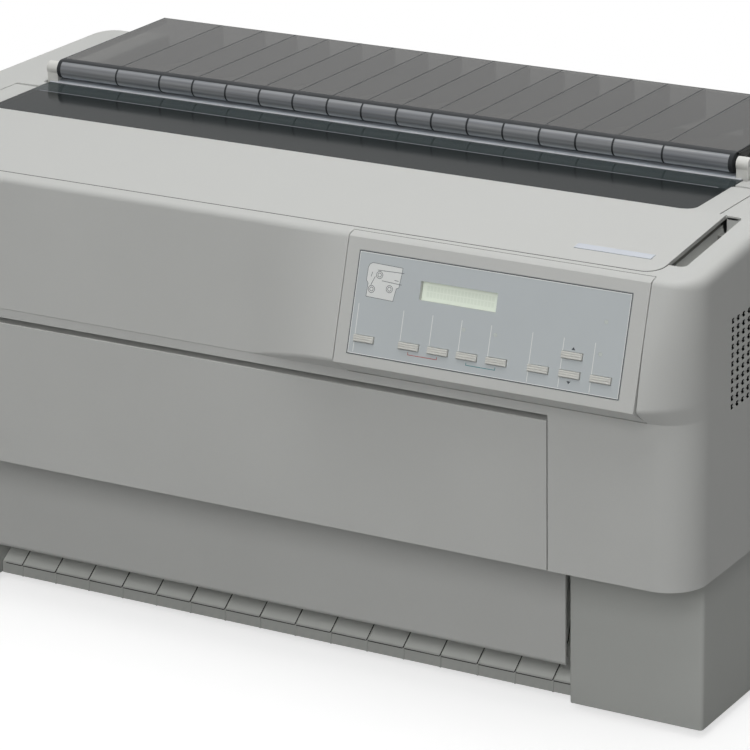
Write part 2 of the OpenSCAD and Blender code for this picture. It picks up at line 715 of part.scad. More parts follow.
module hinge_pins() {
  color("silver")
  both_sides() {
    rod_x(cover_rear_x - 11, cover_rear_x + 5, hinge_y, hinge_z, pin_r);
    rod_x(door_x - 9, door_x + 6, door_pin_y, door_pin_z, pin_r);
    rod_x(flap_x - 8, pedestal_x + 6, flap_pin_y, flap_pin_z, pin_r);
    rod_x(separator_x - 6, support_x1, lip_y, lip_z, pin_r);
  }
}

// ---- control panel ----

// children use x, distance up the panel face, and distance out of it
module on_panel() {
  translate([0, y_edge, z_edge]) rotate([90 - panel_tilt, 0, 0]) children();
}

// (y, z) of a point s down the panel face and d behind it
function panel_point(s, d) = [y_edge - s * sin(panel_tilt) + d * cos(panel_tilt),
  z_edge - s * cos(panel_tilt) - d * sin(panel_tilt)];

// block on the panel face: x range, range of distance down the face, range out of it
module face_block(x0, x1, s0, s1, n0, n1) {
  translate([x0, -s1, n0]) cube([x1 - x0, s1 - s0, n1 - n0]);
}

module face_post(x, s, n0, n1, r) {
  translate([x, -s, n0]) cylinder(r = r, h = n1 - n0);
}

module button_hole(k, g) {
  face_block(button_x[k] - g, button_x[k] + button_w + g, button_s[k] - button_h / 2 - g,
    button_s[k] + button_h / 2 + g, -face_t - 1, 2);
}

module panel_cuts(g) {
  for (k = [0:len(button_x) - 1]) button_hole(k, 0.3);
  face_block(lcd_x0, lcd_x1, lcd_s0, lcd_s1, -face_t - 1, 2);
  for (p = lamps) face_post(p[0], p[1], -face_t - 1, 2, lamp_r + g);
}

module control_panel_housing() {
  yb = y_edge + 6.6;
  t = wall;
  color("lightgray")
  difference() {
    union() {
      along_x(panel_x0, panel_x1) polygon([[yb, top_z(yb)], [y_edge + 2.2, top_z(y_edge) - 0.1],
        panel_point(1.7, 0), [y_panel_low, z_panel_low], [y_front, z_chin], [y_front + t, z_chin],
        panel_point(86, face_t), panel_point(1.7, face_t), [yb, top_z(yb) - t]]);
      for (x = [panel_x0, panel_x1 - 2]) along_x(x, x + 2)
        polygon([[yb, top_z(yb) - 1], [y_edge + 1.5, z_edge - 2],
        [y_panel_low + 1, z_panel_low], [y_front + 1, z_chin + 0.2], [y_front + 6, z_chin + 0.2]]);
      on_panel() for (x = [board_x0 + 5, board_x1 - 5], s = [14, 76]) face_post(x, s, board_n, -face_t + 0.4, 2.5);
    }
    on_panel() {
      face_block(overlay_x0, overlay_x1, overlay_s0, overlay_s1, -overlay_t, 2);
      panel_cuts(0.1);
    }
  }
}

module panel_overlay() {
  color("lightsteelblue")
  on_panel() difference() {
    face_block(overlay_x0 + 0.15, overlay_x1 - 0.15, overlay_s0 + 0.15, overlay_s1 - 0.15, -overlay_t, -0.05);
    panel_cuts(0.1);
  }
}

module lcd_lens() {
  color("honeydew") on_panel()
    face_block(lcd_x0 - 1.5, lcd_x1 + 1.5, lcd_s0 - 1.5, lcd_s1 + 1.5, -face_t - 1.5, -face_t - 0.02);
}

module lcd_module() {
  color("darkseagreen") on_panel()
    face_block(lcd_x0 - 4, lcd_x1 + 4, lcd_s0 - 5, lcd_s1 + 5, board_n, -face_t - 1.5);
}

module control_board() {
  color("green")
  on_panel() union() {
    face_block(board_x0, board_x1, 9, 81, board_n - board_t, board_n);
    for (k = [0:len(button_x) - 1])
      face_block(button_x[k] + button_w / 2 - 3, button_x[k] + button_w / 2 + 3, button_s[k] - 2.2, button_s[k] + 2.2,
        board_n - eps, board_n + 1.6);
  }
}

module indicator_lamps() {
  color("darkgreen") on_panel() for (p = lamps) face_post(p[0], p[1], board_n, -0.1, lamp_r);
}

// key cap with a ridge along its middle, a flange behind the panel and a stem to its switch
module button(k) {
  x0 = button_x[k];
  s0 = button_s[k] - button_h / 2;
  xm = x0 + button_w / 2;
  flange_n = face_t + 0.3;
  color("whitesmoke")
  on_panel() union() {
    translate([x0, -s0 - button_h, 0]) rotate([90, 0, 90]) linear_extrude(button_w)
      polygon([[0, -flange_n - 1], [0, 1.1], [0.5, 1.6], [button_h / 2 - 0.4, 1.3], [button_h / 2, 1.8],
        [button_h / 2 + 0.4, 1.3], [button_h - 0.5, 1.6], [button_h, 1.1], [button_h, -flange_n - 1]]);
    face_block(x0 - 1.2, x0 + button_w + 1.2, s0 - 0.9, s0 + button_h + 0.9, -flange_n - 1, -flange_n);
    face_post(xm, button_s[k], board_n + 1.6 + button_travel + 0.2, -flange_n - 0.5, 1.5);
  }
}

module button_tractor_select() { button(0); }
module button_font() { button(1); }
module button_pitch() { button(2); }
module button_tear_off() { button(3); }
module button_top_of_form() { button(4); }
module button_load() { button(5); }
module button_micro_up() { button(6); }
module button_micro_down() { button(7); }
module button_pause() { button(8); }

// ---- print mechanism ----

module base_plate() {
  color("silver")
  difference() {
    box(-half_w + 50, half_w - 50, y_ped + 78, base_rear - 6, z_case, z_case + plate_t);
    for (x = [-180:120:180]) box(x - 40, x + 40, y_ped + 100, base_rear - 60, z_case - 1, z_case + plate_t + 1);
  }
}

// steel frame that carries shafts, platen and gears; s is -1 on the left and 1 on the right
module side_frame(s) {
  x0 = s > 0 ? frame_x : -frame_x - plate_t;
  z0 = z_case + plate_t;
  color("silver")
  difference() {
    union() {
      along_x(x0, x0 + plate_t) polygon([[y_ped + 79, z0], [base_rear - 8, z0], [base_rear - 8, z0 + 120],
        [base_rear - 46, frame_top], [platen_y - 40, frame_top], [platen_y - 60, frame_top - 4],
        [y_ped + 62, frame_top - 4], [y_ped + 12, frame_top - 60], [y_ped + 12, z0 + 40], [y_ped + 79, z0 + 16]]);
      // foot flange on the base plate
      box(min(s * (frame_x - 14), s * (frame_x + 1)), max(s * (frame_x - 14), s * (frame_x + 1)),
        y_ped + 79, base_rear - 8, z0, z0 + plate_t);
      // stub axles of the idler gears on the left frame
      if (s < 0) for (c = [upper_idler_c, lower_idler_c, rear_idler_c])
        rod_x(-gear_x1 - 1, -frame_x - 1, c[0], c[1], axle_r);
    }
    for (h = frame_holes) rod_x(x0 - 1, x0 + plate_t + 1, h[0], h[1], h[2]);
    // lightening holes, and the motor's shaft hole on the left frame
    for (y = [-10, 50, 120]) rod_x(x0 - 1, x0 + plate_t + 1, y, z0 + 46, 20);
    rod_x(x0 - 1, x0 + plate_t + 1, motor_y, motor_z, motor_shaft_r + 2);
  }
}

module side_frame_left() { side_frame(-1); }
module side_frame_right() { side_frame(1); }

// toothed wheel about X: tooth count, place, face range, angle of its first tooth, bore radius
module gear(teeth, y, z, x0, x1, phase, bore) {
  r = teeth * gear_module / 2;
  p = 360 / teeth;
  half = 0.21;
  translate([0, y, z]) difference() {
    along_x(x0, x1) polygon([for (i = [0:teeth - 1], c = [[-0.5 + half * 0.1, -1.2], [-half * 1.35, -1.15],
      [-half, 0], [-half * 0.5, 0.85], [half * 0.5, 0.85], [half, 0], [half * 1.35, -1.15]])
      let (a = phase + (i + c[0]) * p, q = r + c[1] * gear_module) [q * cos(a), q * sin(a)]]);
    rod_x(x0 - 1, x1 + 1, 0, 0, bore);
  }
}

function mesh_phase(prev, n_prev, dir, n) = dir + 180 + 180 / n - n_prev / n * (prev - dir);

module platen() {
  color("dimgray")
  union() {
    rod_x(-platen_x, platen_x, platen_y, platen_z, platen_r);
    rod_x(-gear_x1 - 4, frame_x + 12, platen_y, platen_z, platen_shaft_r);
    gear(platen_teeth, platen_y, platen_z, -gear_x1, -gear_x0, platen_phase, platen_shaft_r - 0.5);
  }
}

module guide_shafts() {
  color("silver") {
    for (y = guide_ys) rod_x(-frame_x - plate_t, frame_x + plate_t, y, guide_z, guide_r);
    for (c = [front_rail_c, rear_rail_c])
      rod_x(-frame_x - plate_t, frame_x + plate_t, c[0], c[1], tractor_shaft_r);
  }
}

module carriage() {
  w = 30;
  color("darkgray")
  difference() {
    union() {
      box(-w, w, guide_ys[0] - 10, guide_ys[1] + 9, guide_z - 3, guide_z + 9);
      for (y = guide_ys) rod_x(-w, w, y, guide_z, guide_r + 3);
      // clamp down to the belt
      box(-9, 9, belt_y - 6, belt_y + 6, belt_z + pulley_r + 1.5 + run_gap, guide_z);
    }
    for (y = guide_ys) rod_x(-w - 1, w + 1, y, guide_z, guide_r + run_fit);
  }
}

// print head: finned heat sink with a nose that reaches the platen
module print_head() {
  z0 = guide_z + 9;
  color("dimgray")
  union() {
    box(-22, 22, guide_ys[0] - 4, guide_ys[1] - 6, z0, z0 + 5);
    for (i = [0:6]) box(-20, 20, guide_ys[0] + i * 6 - 2, guide_ys[0] + i * 6 + 1, z0 + 4, head_top);
    along_x(-15, 15) polygon([[guide_ys[1] - 7, z0], [guide_ys[1] - 7, head_top - 1], [guide_ys[1] + 4, head_top - 2],
      [platen_y - platen_r - 8, platen_z + 4], [platen_y - platen_r - 0.8, platen_z + 3],
      [platen_y - platen_r - 0.8, platen_z - 3], [platen_y - platen_r - 8, platen_z - 5]]);
  }
}

module ribbon_cartridge() {
  x = frame_x - 6;
  z0 = ribbon_z;
  y0 = y_ped + 4;
  color([0.12, 0.12, 0.13])
  union() {
    difference() {
      box(-x, x, y0, guide_ys[0] - 16, z0, z0 + 22);
      box(-x + 2, x - 2, y0 + 2, guide_ys[0] - 18, z0 + 2, z0 + 20);
    }
    // arms that lead the ribbon past the platen
    both_sides() box(x - 12, x, guide_ys[0] - 17, platen_y - platen_r - 3, z0 + 9, z0 + 20);
    // end lugs that lie against the side frames
    both_sides() box(x - 1, frame_x - run_gap, guide_ys[0] - 32, guide_ys[0] - 20, z0 + 2, z0 + 12);
    // winding knob
    translate([-x + 34, y0 + 22, z0 + 21]) cylinder(r = 11, h = 5);
    for (i = [0:8]) let (rx = -x + 80 + i * (2 * x - 148) / 8)
      box(rx, rx + 2, y0 + 3, guide_ys[0] - 19, z0 + 21, z0 + 23);
  }
}

module carriage_belt() {
  color([0.15, 0.15, 0.15])
  along_y(belt_y - 4, belt_y + 4) difference() {
    union() {
      translate([-belt_x, belt_z - pulley_r - 1.5]) square([2 * belt_x, 2 * pulley_r + 3]);
      for (s = [-1, 1]) translate([s * belt_x, belt_z]) circle(pulley_r + 1.5);
    }
    union() {
      translate([-belt_x, belt_z - pulley_r - 0.1]) square([2 * belt_x, 2 * pulley_r + 0.2]);
      for (s = [-1, 1]) translate([s * belt_x, belt_z]) circle(pulley_r + 0.1);
    }
  }
}

module pulley(x) {
  difference() {
    union() {
      rod_y(belt_y - 4.5, belt_y + 4.5, x, belt_z, pulley_r);
      for (y = [belt_y - 5.8, belt_y + 4.4]) rod_y(y, y + 1.4, x, belt_z, pulley_r + 3);
    }
    rod_y(belt_y - 10, belt_y + 10, x, belt_z, motor_shaft_r + run_fit);
  }
}

module drive_pulley() { color("gainsboro") pulley(-belt_x); }
module idler_pulley() { color("gainsboro") pulley(belt_x); }

// carriage motor on its bracket, and the bracket of the idler pulley at the other side
module carriage_motor() {
  color("gray")
  union() {
    rod_y(belt_y - 52, belt_y - 14, -belt_x, belt_z, 16);
    box(-frame_x, -belt_x + 20, belt_y - 14.5, belt_y - 12, belt_z - 20, belt_z + 10);
    rod_y(belt_y - 14, belt_y + 7, -belt_x, belt_z, motor_shaft_r);
    box(belt_x - 12, frame_x, belt_y - 14.5, belt_y - 12, belt_z - 14, belt_z + 10);
    rod_y(belt_y - 14, belt_y + 7, belt_x, belt_z, motor_shaft_r);
  }
}

module paper_feed_motor() {
  color("gray")
  union() {
    rod_x(-frame_x, -frame_x + 44, motor_y, motor_z, 20);
    rod_x(-gear_x1, -frame_x + 1, motor_y, motor_z, motor_shaft_r);
  }
}

// ---- paper feed ----

module motor_pinion() {
  color("gold")
  gear(pinion_teeth, pinion_c[0], pinion_c[1], -gear_x1, -gear_x0, pinion_phase, motor_shaft_r + run_fit);
}

module idler(c, teeth, phase) {
  color("ivory") difference() {
    gear(teeth, c[0], c[1], -gear_x1, -gear_x0, phase, axle_r + run_fit);
    // recessed web between hub and rim
    difference() {
      rod_x(-gear_x1 - 1, -gear_x1 + 2.5, c[0], c[1], teeth * gear_module / 2 - 4);
      rod_x(-gear_x1 - 2, -gear_x1 + 4, c[0], c[1], axle_r + 3);
    }
  }
}

module upper_idler_gear() { idler(upper_idler_c, idler_teeth, upper_idler_phase); }
module lower_idler_gear() { idler(lower_idler_c, idler_teeth, lower_idler_phase); }
module rear_idler_gear() { idler(rear_idler_c, shaft_teeth, rear_idler_phase); }

module tractor_shaft(c, phase) {
  color("silver") union() {
    rod_x(-gear_x1 - 3, frame_x + 10, c[0], c[1], tractor_shaft_r);
    gear(shaft_teeth, c[0], c[1], -gear_x1, -gear_x0, phase, tractor_shaft_r - 0.5);
  }
}

module front_tractor_shaft() { tractor_shaft(front_shaft_c, front_shaft_phase); }
module rear_tractor_shaft() { tractor_shaft(rear_shaft_c, rear_shaft_phase); }

// tractor on its drive shaft c and rail d, pins towards side (-1 front, 1 rear)
module tractor(x, c, d, side) {
  r = 11;
  z0 = min(c[1], d[1]);
  z1 = max(c[1], d[1]);
  color([0.2, 0.2, 0.22])
  difference() {
    union() {
      box(x - 13, x + 13, c[0] - r, c[0] + r, z0, z1);
      for (p = [c, d]) rod_x(x - 13, x + 13, p[0], p[1], r);
      // sprocket pins, spaced like the holes at the paper's edges
      for (i = [-1:2])
        rod_y(c[0] + (side > 0 ? r - 1 : -r - 2.6), c[0] + (side > 0 ? r + 2.6 : -r + 1), x + 4,
        (z0 + z1) / 2 + (i - 0.5) * 12.7, 1.6);
      // lock lever on top of the rail side
      box(x - 17, x - 12, d[0] - 3, d[0] + 3, d[1] - 3, d[1] + 14);
    }
    rod_x(x - 20, x + 20, c[0], c[1], tractor_shaft_r + run_fit);
    rod_x(x - 20, x + 20, d[0], d[1], tractor_shaft_r + run_fit);
    // gap between the belt housing and its paper cover
    box(x - 14, x - 6, c[0] + side * r - 2, c[0] + side * r + 2, z0 - 2, z1 + 2);
  }
}

module front_tractor_left() { tractor(-tractor_x, front_shaft_c, front_rail_c, -1); }
module front_tractor_right() { mirror([1, 0, 0]) tractor(-tractor_x, front_shaft_c, front_rail_c, -1); }
module rear_tractor_left() { tractor(-tractor_x, rear_shaft_c, rear_rail_c, 1); }
module rear_tractor_right() { mirror([1, 0, 0]) tractor(-tractor_x, rear_shaft_c, rear_rail_c, 1); }

// ---- electronics and cooling ----

module main_board() {
  z0 = z_base + wall;
  zb = z0 + 6;
  y0 = y_ped + 96;
  color("green")
  union() {
    box(-60, pedestal_x - 19, y0, y_panel_rear - 16, zb, zb + 1.6);
    for (x = [-50, 80, pedestal_x - 29], y = [y0 + 10, y_panel_rear - 26])
      translate([x, y, z0]) cylinder(r = 3, h = 6 + eps);
    for (i = [0:4]) box(-40 + i * 46, -10 + i * 46, y0 + 30, y0 + 60, zb + 1.5, zb + 4);
    for (i = [0:8]) box(120 + i * 8, 123 + i * 8, y0 + 90, y0 + 130, zb + 1.5, zb + 26);
  }
}

module power_supply() {
  z0 = z_base + wall;
  y0 = y_ped + 90;
  color("silver")
  difference() {
    box(-pedestal_x + 8, -pedestal_x + 160, y0, y0 + 130, z0, z0 + 70);
    for (i = [0:11])
      box(-pedestal_x + 18 + i * 12, -pedestal_x + 24 + i * 12, y0 + 20, y0 + 110, z0 + 66, z0 + 71);
  }
}

module fan_frame() {
  h = fan_size / 2;
  color([0.16, 0.16, 0.17])
  difference() {
    union() {
      difference() {
        box(fan_x0, fan_x1, fan_y - h, fan_y + h, fan_z - h, fan_z + h);
        rod_x(fan_x0 - 1, fan_x1 + 1, fan_y, fan_z, h - 2.5);
      }
      rod_x(fan_x0, fan_x0 + 3, fan_y, fan_z, h * 0.36);
      rod_x(fan_x0, fan_x1 - 3, fan_y, fan_z, 2);
      for (a = [0:90:270])
        translate([fan_x0, fan_y, fan_z]) rotate([a + 45, 0, 0]) translate([0, 8, -2]) cube([3, h - 9, 4]);
    }
    for (y = [-1, 1], z = [-1, 1])
      rod_x(fan_x0 - 1, fan_x1 + 1, fan_y + y * (h - 5), fan_z + z * (h - 5), 2.2);
  }
}

module fan_rotor() {
  x0 = fan_x0 + 3 + run_gap;
  h = fan_size / 2;
  color([0.12, 0.12, 0.13])
  difference() {
    union() {
      rod_x(x0, x0 + 18, fan_y, fan_z, h * 0.38);
      for (i = [0:6]) translate([x0 + 9, fan_y, fan_z]) rotate([i * 360 / 7, 0, 0])
        rotate([0, 38, 0]) translate([-1, h * 0.36, -7.5]) cube([2, h * 0.52, 15]);
    }
    rod_x(x0 - 1, x0 + 20, fan_y, fan_z, 2 + run_fit);
  }
}

// mains inlet with its three blades, and the housing of the rocker switch beside it
module ac_inlet() {
  y0 = y_panel_rear;
  color([0.1, 0.1, 0.1])
  union() {
    difference() {
      box(inlet_x - 13.8, inlet_x + 13.8, y0 - 18, y0 + 2.5, inlet_z - 10, inlet_z + 10);
      box(inlet_x - 11.8, inlet_x + 11.8, y0 - 14, y0 + 3, inlet_z - 8, inlet_z + 8);
    }
    for (p = [[-7, -2], [0, 3], [7, -2]])
      box(inlet_x + p[0] - 1, inlet_x + p[0] + 1, y0 - 15, y0 - 1, inlet_z + p[1] - 2, inlet_z + p[1] + 2);
    box(inlet_x + 13.8, switch_x - 12, y0 - 12, y0 - 0.1, inlet_z - 6, inlet_z + 6);
    difference() {
      box(switch_x - 12.2, switch_x + 12.2, y0 - 18, y0 - 0.1, inlet_z - 9, inlet_z + 9);
      box(switch_x - 10.2, switch_x + 10.2, y0 - 16, y0 + 1, inlet_z - 7.2, inlet_z + 7.2);
    }
    translate([switch_x, y0 - 5, inlet_z - 8]) cylinder(r = 1.5, h = 16);
  }
}

module power_switch() {
  color([0.06, 0.06, 0.06])
  translate([switch_x, y_panel_rear - 5, inlet_z])
  difference() {
    translate([0, 0, -6.8]) linear_extrude(13.6)
      polygon([[-9, -4], [9, -4], [9, 2], [8.2, 7.5], [0, 5.5], [-8.6, 5.2]]);
    translate([0, 0, -10]) cylinder(r = 1.5 + run_fit, h = 20);
  }
}

module interface_connectors() {
  y0 = y_panel_rear;
  zb = z_base + wall + 7.6;
  color([0.3, 0.3, 0.32])
  for (p = [[port_x, 28.6], [port_x - 56.5, 6]]) {
    difference() {
      union() {
        box(p[0] - p[1], p[0] + p[1], y0 - 14, y0 + 1.4, port_z - 5.6, port_z + 5.6);
        box(p[0] - p[1], p[0] + p[1], y0 - 30, y0 - 4, zb, port_z + 5.6);
      }
      box(p[0] - p[1] + 2, p[0] + p[1] - 2, y0 - 8, y0 + 2, port_z - 3.4, port_z + 3.4);
    }
    box(p[0] - p[1] + 4, p[0] + p[1] - 4, y0 - 8.5, y0 - 1, port_z - 1, port_z + 1);
  }
}

base_case();
main_case();
side_vent();
rear_panel();
top_cover();
cover_window();
badge_plate();
cover_catch();
front_cover();
lower_flap();
front_paper_guide();
paper_separator();
separator_pivots();
control_panel_housing();
panel_overlay();
lcd_lens();
lcd_module();
control_board();
indicator_lamps();
button_tractor_select();
button_font();
button_pitch();
button_tear_off();
button_top_of_form();
button_load();
button_micro_up();
button_micro_down();
button_pause();
feet();
base_plate();
side_frame_left();
side_frame_right();
platen();
guide_shafts();
carriage();
print_head();
ribbon_cartridge();
carriage_belt();
drive_pulley();
idler_pulley();
carriage_motor();
paper_feed_motor();
motor_pinion();
upper_idler_gear();
lower_idler_gear();
rear_idler_gear();
front_tractor_shaft();
rear_tractor_shaft();
front_tractor_left();
front_tractor_right();
rear_tractor_left();
rear_tractor_right();
main_board();
power_supply();
fan_frame();
fan_rotor();
power_switch();
ac_inlet();
interface_connectors();
hinge_pins();
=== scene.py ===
import bpy
import bmesh
import json
import math
from mathutils import Matrix, Vector

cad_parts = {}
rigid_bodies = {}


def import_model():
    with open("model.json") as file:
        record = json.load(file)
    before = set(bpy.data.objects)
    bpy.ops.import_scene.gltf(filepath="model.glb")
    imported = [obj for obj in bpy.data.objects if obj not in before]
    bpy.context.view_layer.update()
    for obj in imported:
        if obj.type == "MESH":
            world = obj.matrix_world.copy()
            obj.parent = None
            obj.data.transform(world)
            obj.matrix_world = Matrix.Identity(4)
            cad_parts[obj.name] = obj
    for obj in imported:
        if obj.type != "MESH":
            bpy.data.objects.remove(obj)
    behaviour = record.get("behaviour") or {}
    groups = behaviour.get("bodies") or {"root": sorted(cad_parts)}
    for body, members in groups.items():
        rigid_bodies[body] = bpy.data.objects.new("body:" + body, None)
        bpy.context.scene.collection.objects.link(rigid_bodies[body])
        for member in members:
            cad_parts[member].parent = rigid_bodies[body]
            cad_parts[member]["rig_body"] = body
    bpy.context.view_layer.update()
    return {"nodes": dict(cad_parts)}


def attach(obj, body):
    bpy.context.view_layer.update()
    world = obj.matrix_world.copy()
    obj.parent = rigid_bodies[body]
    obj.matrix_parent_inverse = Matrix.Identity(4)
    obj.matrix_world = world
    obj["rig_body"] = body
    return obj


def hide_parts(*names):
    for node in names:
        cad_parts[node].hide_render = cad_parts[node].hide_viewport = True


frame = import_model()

mm = 0.001
print("frame loaded")


def addObject(name, data):
    obj = bpy.data.objects.new(name, data)
    bpy.context.scene.collection.objects.link(obj)
    return obj


def addMath(nodes, operation):
    node = nodes.new("ShaderNodeMath")
    node.operation = operation
    return node


def setInputs(node, values):
    for name, value in values.items():
        node.inputs[name].default_value = value


# camera and room

cameraSettings = {
    "place": (1367.5, -2302.6, 1108.9),  # millimetres, in the printer's own frame
    "azimuth": 30.499,  # degrees round from the front
    "elevation": 19.437,
    "roll": -1.002,
    "lens": 184.7,
    "sensor": 36,
    "farthest": 50,  # metres
}


def addCamera(cfg):
    az, el, roll = (math.radians(cfg[k]) for k in ("azimuth", "elevation", "roll"))
    back = Vector((math.sin(az) * math.cos(el), -math.cos(az) * math.cos(el), math.sin(el)))
    right = (-back).cross(Vector((0, 0, 1))).normalized()
    up = right.cross(-back)
    across = right * math.cos(roll) + up * math.sin(roll)
    upward = up * math.cos(roll) - right * math.sin(roll)
    cam = addObject("camera", bpy.data.cameras.new("camera"))
    cam.matrix_world = Matrix((across, upward, back)).transposed().to_4x4()
    cam.location = Vector(cfg["place"]) * mm
    cam.data.lens = cfg["lens"]
    cam.data.sensor_width = cfg["sensor"]
    cam.data.clip_end = cfg["farthest"]
    bpy.context.scene.camera = cam


addCamera(cameraSettings)

roomSettings = {
    "floorColour": (0.5, 0.5, 0.5),
    "floorSize": 14,
    "floorRough": 0.9,
    "floorSpecular": 0.1,
    "floorGlow": 0.67,  # added to what the camera sees of the floor near the printer
    "whiteFrom": (0.62, 1.25),  # metres from the middle: the floor fades to plain white between them
    "worldColour": (1.0, 1.0, 1.0),
    "worldStrength": 0.07,  # soft fill; camera, glossy and clear rays see plain white instead
    "aimHeight": 0.18,
    "lamps": [  # name, place, size, watts; each looks at the middle of the printer
        ("overhead", (0.3, -0.4, 3.0), 2.4, 45),
        ("front", (0.74, -3.0, 2.25), 1.8, 41.5),
        ("rear", (-0.7, 2.2, 3.1), 1.8, 20),
    ],
}


def addWorld(cfg):
    scene = bpy.context.scene
    scene.view_settings.view_transform = "Standard"
    world = bpy.data.worlds.new("studio")
    scene.world = world
    world.use_nodes = True
    nodes, links = world.node_tree.nodes, world.node_tree.links
    nodes.clear()
    out = nodes.new("ShaderNodeOutputWorld")
    mix = nodes.new("ShaderNodeMixShader")
    path = nodes.new("ShaderNodeLightPath")
    soft = nodes.new("ShaderNodeBackground")
    white = nodes.new("ShaderNodeBackground")
    seen, glossyToo = addMath(nodes, "MAXIMUM"), addMath(nodes, "MAXIMUM")
    setInputs(soft, {"Color": (*cfg["worldColour"], 1), "Strength": cfg["worldStrength"]})
    setInputs(white, {"Color": (1, 1, 1, 1), "Strength": 1.0})
    links.new(path.outputs["Is Camera Ray"], seen.inputs[0])
    links.new(path.outputs["Is Glossy Ray"], glossyToo.inputs[0])
    links.new(path.outputs["Is Transmission Ray"], glossyToo.inputs[1])
    links.new(glossyToo.outputs[0], seen.inputs[1])
    links.new(seen.outputs[0], mix.inputs["Fac"])
    links.new(soft.outputs[0], mix.inputs[1])
    links.new(white.outputs[0], mix.inputs[2])
    links.new(mix.outputs[0], out.inputs["Surface"])


def addLamps(cfg):
    for name, place, size, watts in cfg["lamps"]:
        data = bpy.data.lights.new(name, "AREA")
        data.size = size
        data.energy = watts
        lamp = addObject(name, data)
        lamp.location = place
        aim = Vector((0, 0, cfg["aimHeight"])) - Vector(place)
        lamp.rotation_euler = aim.to_track_quat("-Z", "Y").to_euler()


def addFloor(cfg):
    bpy.ops.mesh.primitive_plane_add(size=cfg["floorSize"], location=(0, 0, 0))
    floor = bpy.context.object
    floor.name = "floor"
    mat = bpy.data.materials.new("paleFloor")
    mat.use_nodes = True
    nodes, links = mat.node_tree.nodes, mat.node_tree.links
    bsdf = nodes["Principled BSDF"]
    setInputs(bsdf, {"Base Color": (*cfg["floorColour"], 1), "Roughness": cfg["floorRough"],
                     "Specular IOR Level": cfg["floorSpecular"], "Emission Color": (1, 1, 1, 1)})
    place = nodes.new("ShaderNodeTexCoord")
    away = nodes.new("ShaderNodeVectorMath")
    away.operation = "LENGTH"
    fade = nodes.new("ShaderNodeMapRange")
    fade.interpolation_type = "SMOOTHSTEP"
    setInputs(fade, dict(zip(("From Min", "From Max"), cfg["whiteFrom"])))
    path = nodes.new("ShaderNodeLightPath")
    glow, whiteFade = addMath(nodes, "MULTIPLY"), addMath(nodes, "MULTIPLY")
    glow.inputs[1].default_value = cfg["floorGlow"]
    plain = nodes.new("ShaderNodeEmission")
    mix = nodes.new("ShaderNodeMixShader")
    links.new(place.outputs["Object"], away.inputs[0])
    links.new(away.outputs["Value"], fade.inputs["Value"])
    links.new(path.outputs["Is Camera Ray"], glow.inputs[0])
    links.new(glow.outputs[0], bsdf.inputs["Emission Strength"])
    links.new(fade.outputs["Result"], whiteFade.inputs[0])
    links.new(path.outputs["Is Camera Ray"], whiteFade.inputs[1])
    links.new(whiteFade.outputs[0], mix.inputs["Fac"])
    links.new(bsdf.outputs[0], mix.inputs[1])
    links.new(plain.outputs[0], mix.inputs[2])
    links.new(mix.outputs[0], nodes["Material Output"].inputs["Surface"])
    floor.data.materials.append(mat)


addWorld(roomSettings)
addLamps(roomSettings)
addFloor(roomSettings)
print("room and camera set")

# materials


def fromSrgb(r, g, b):
    return tuple((c / 255 / 12.92) if c / 255 <= 0.04045 else ((c / 255 + 0.055) / 1.055) ** 2.4 for c in (r, g, b))


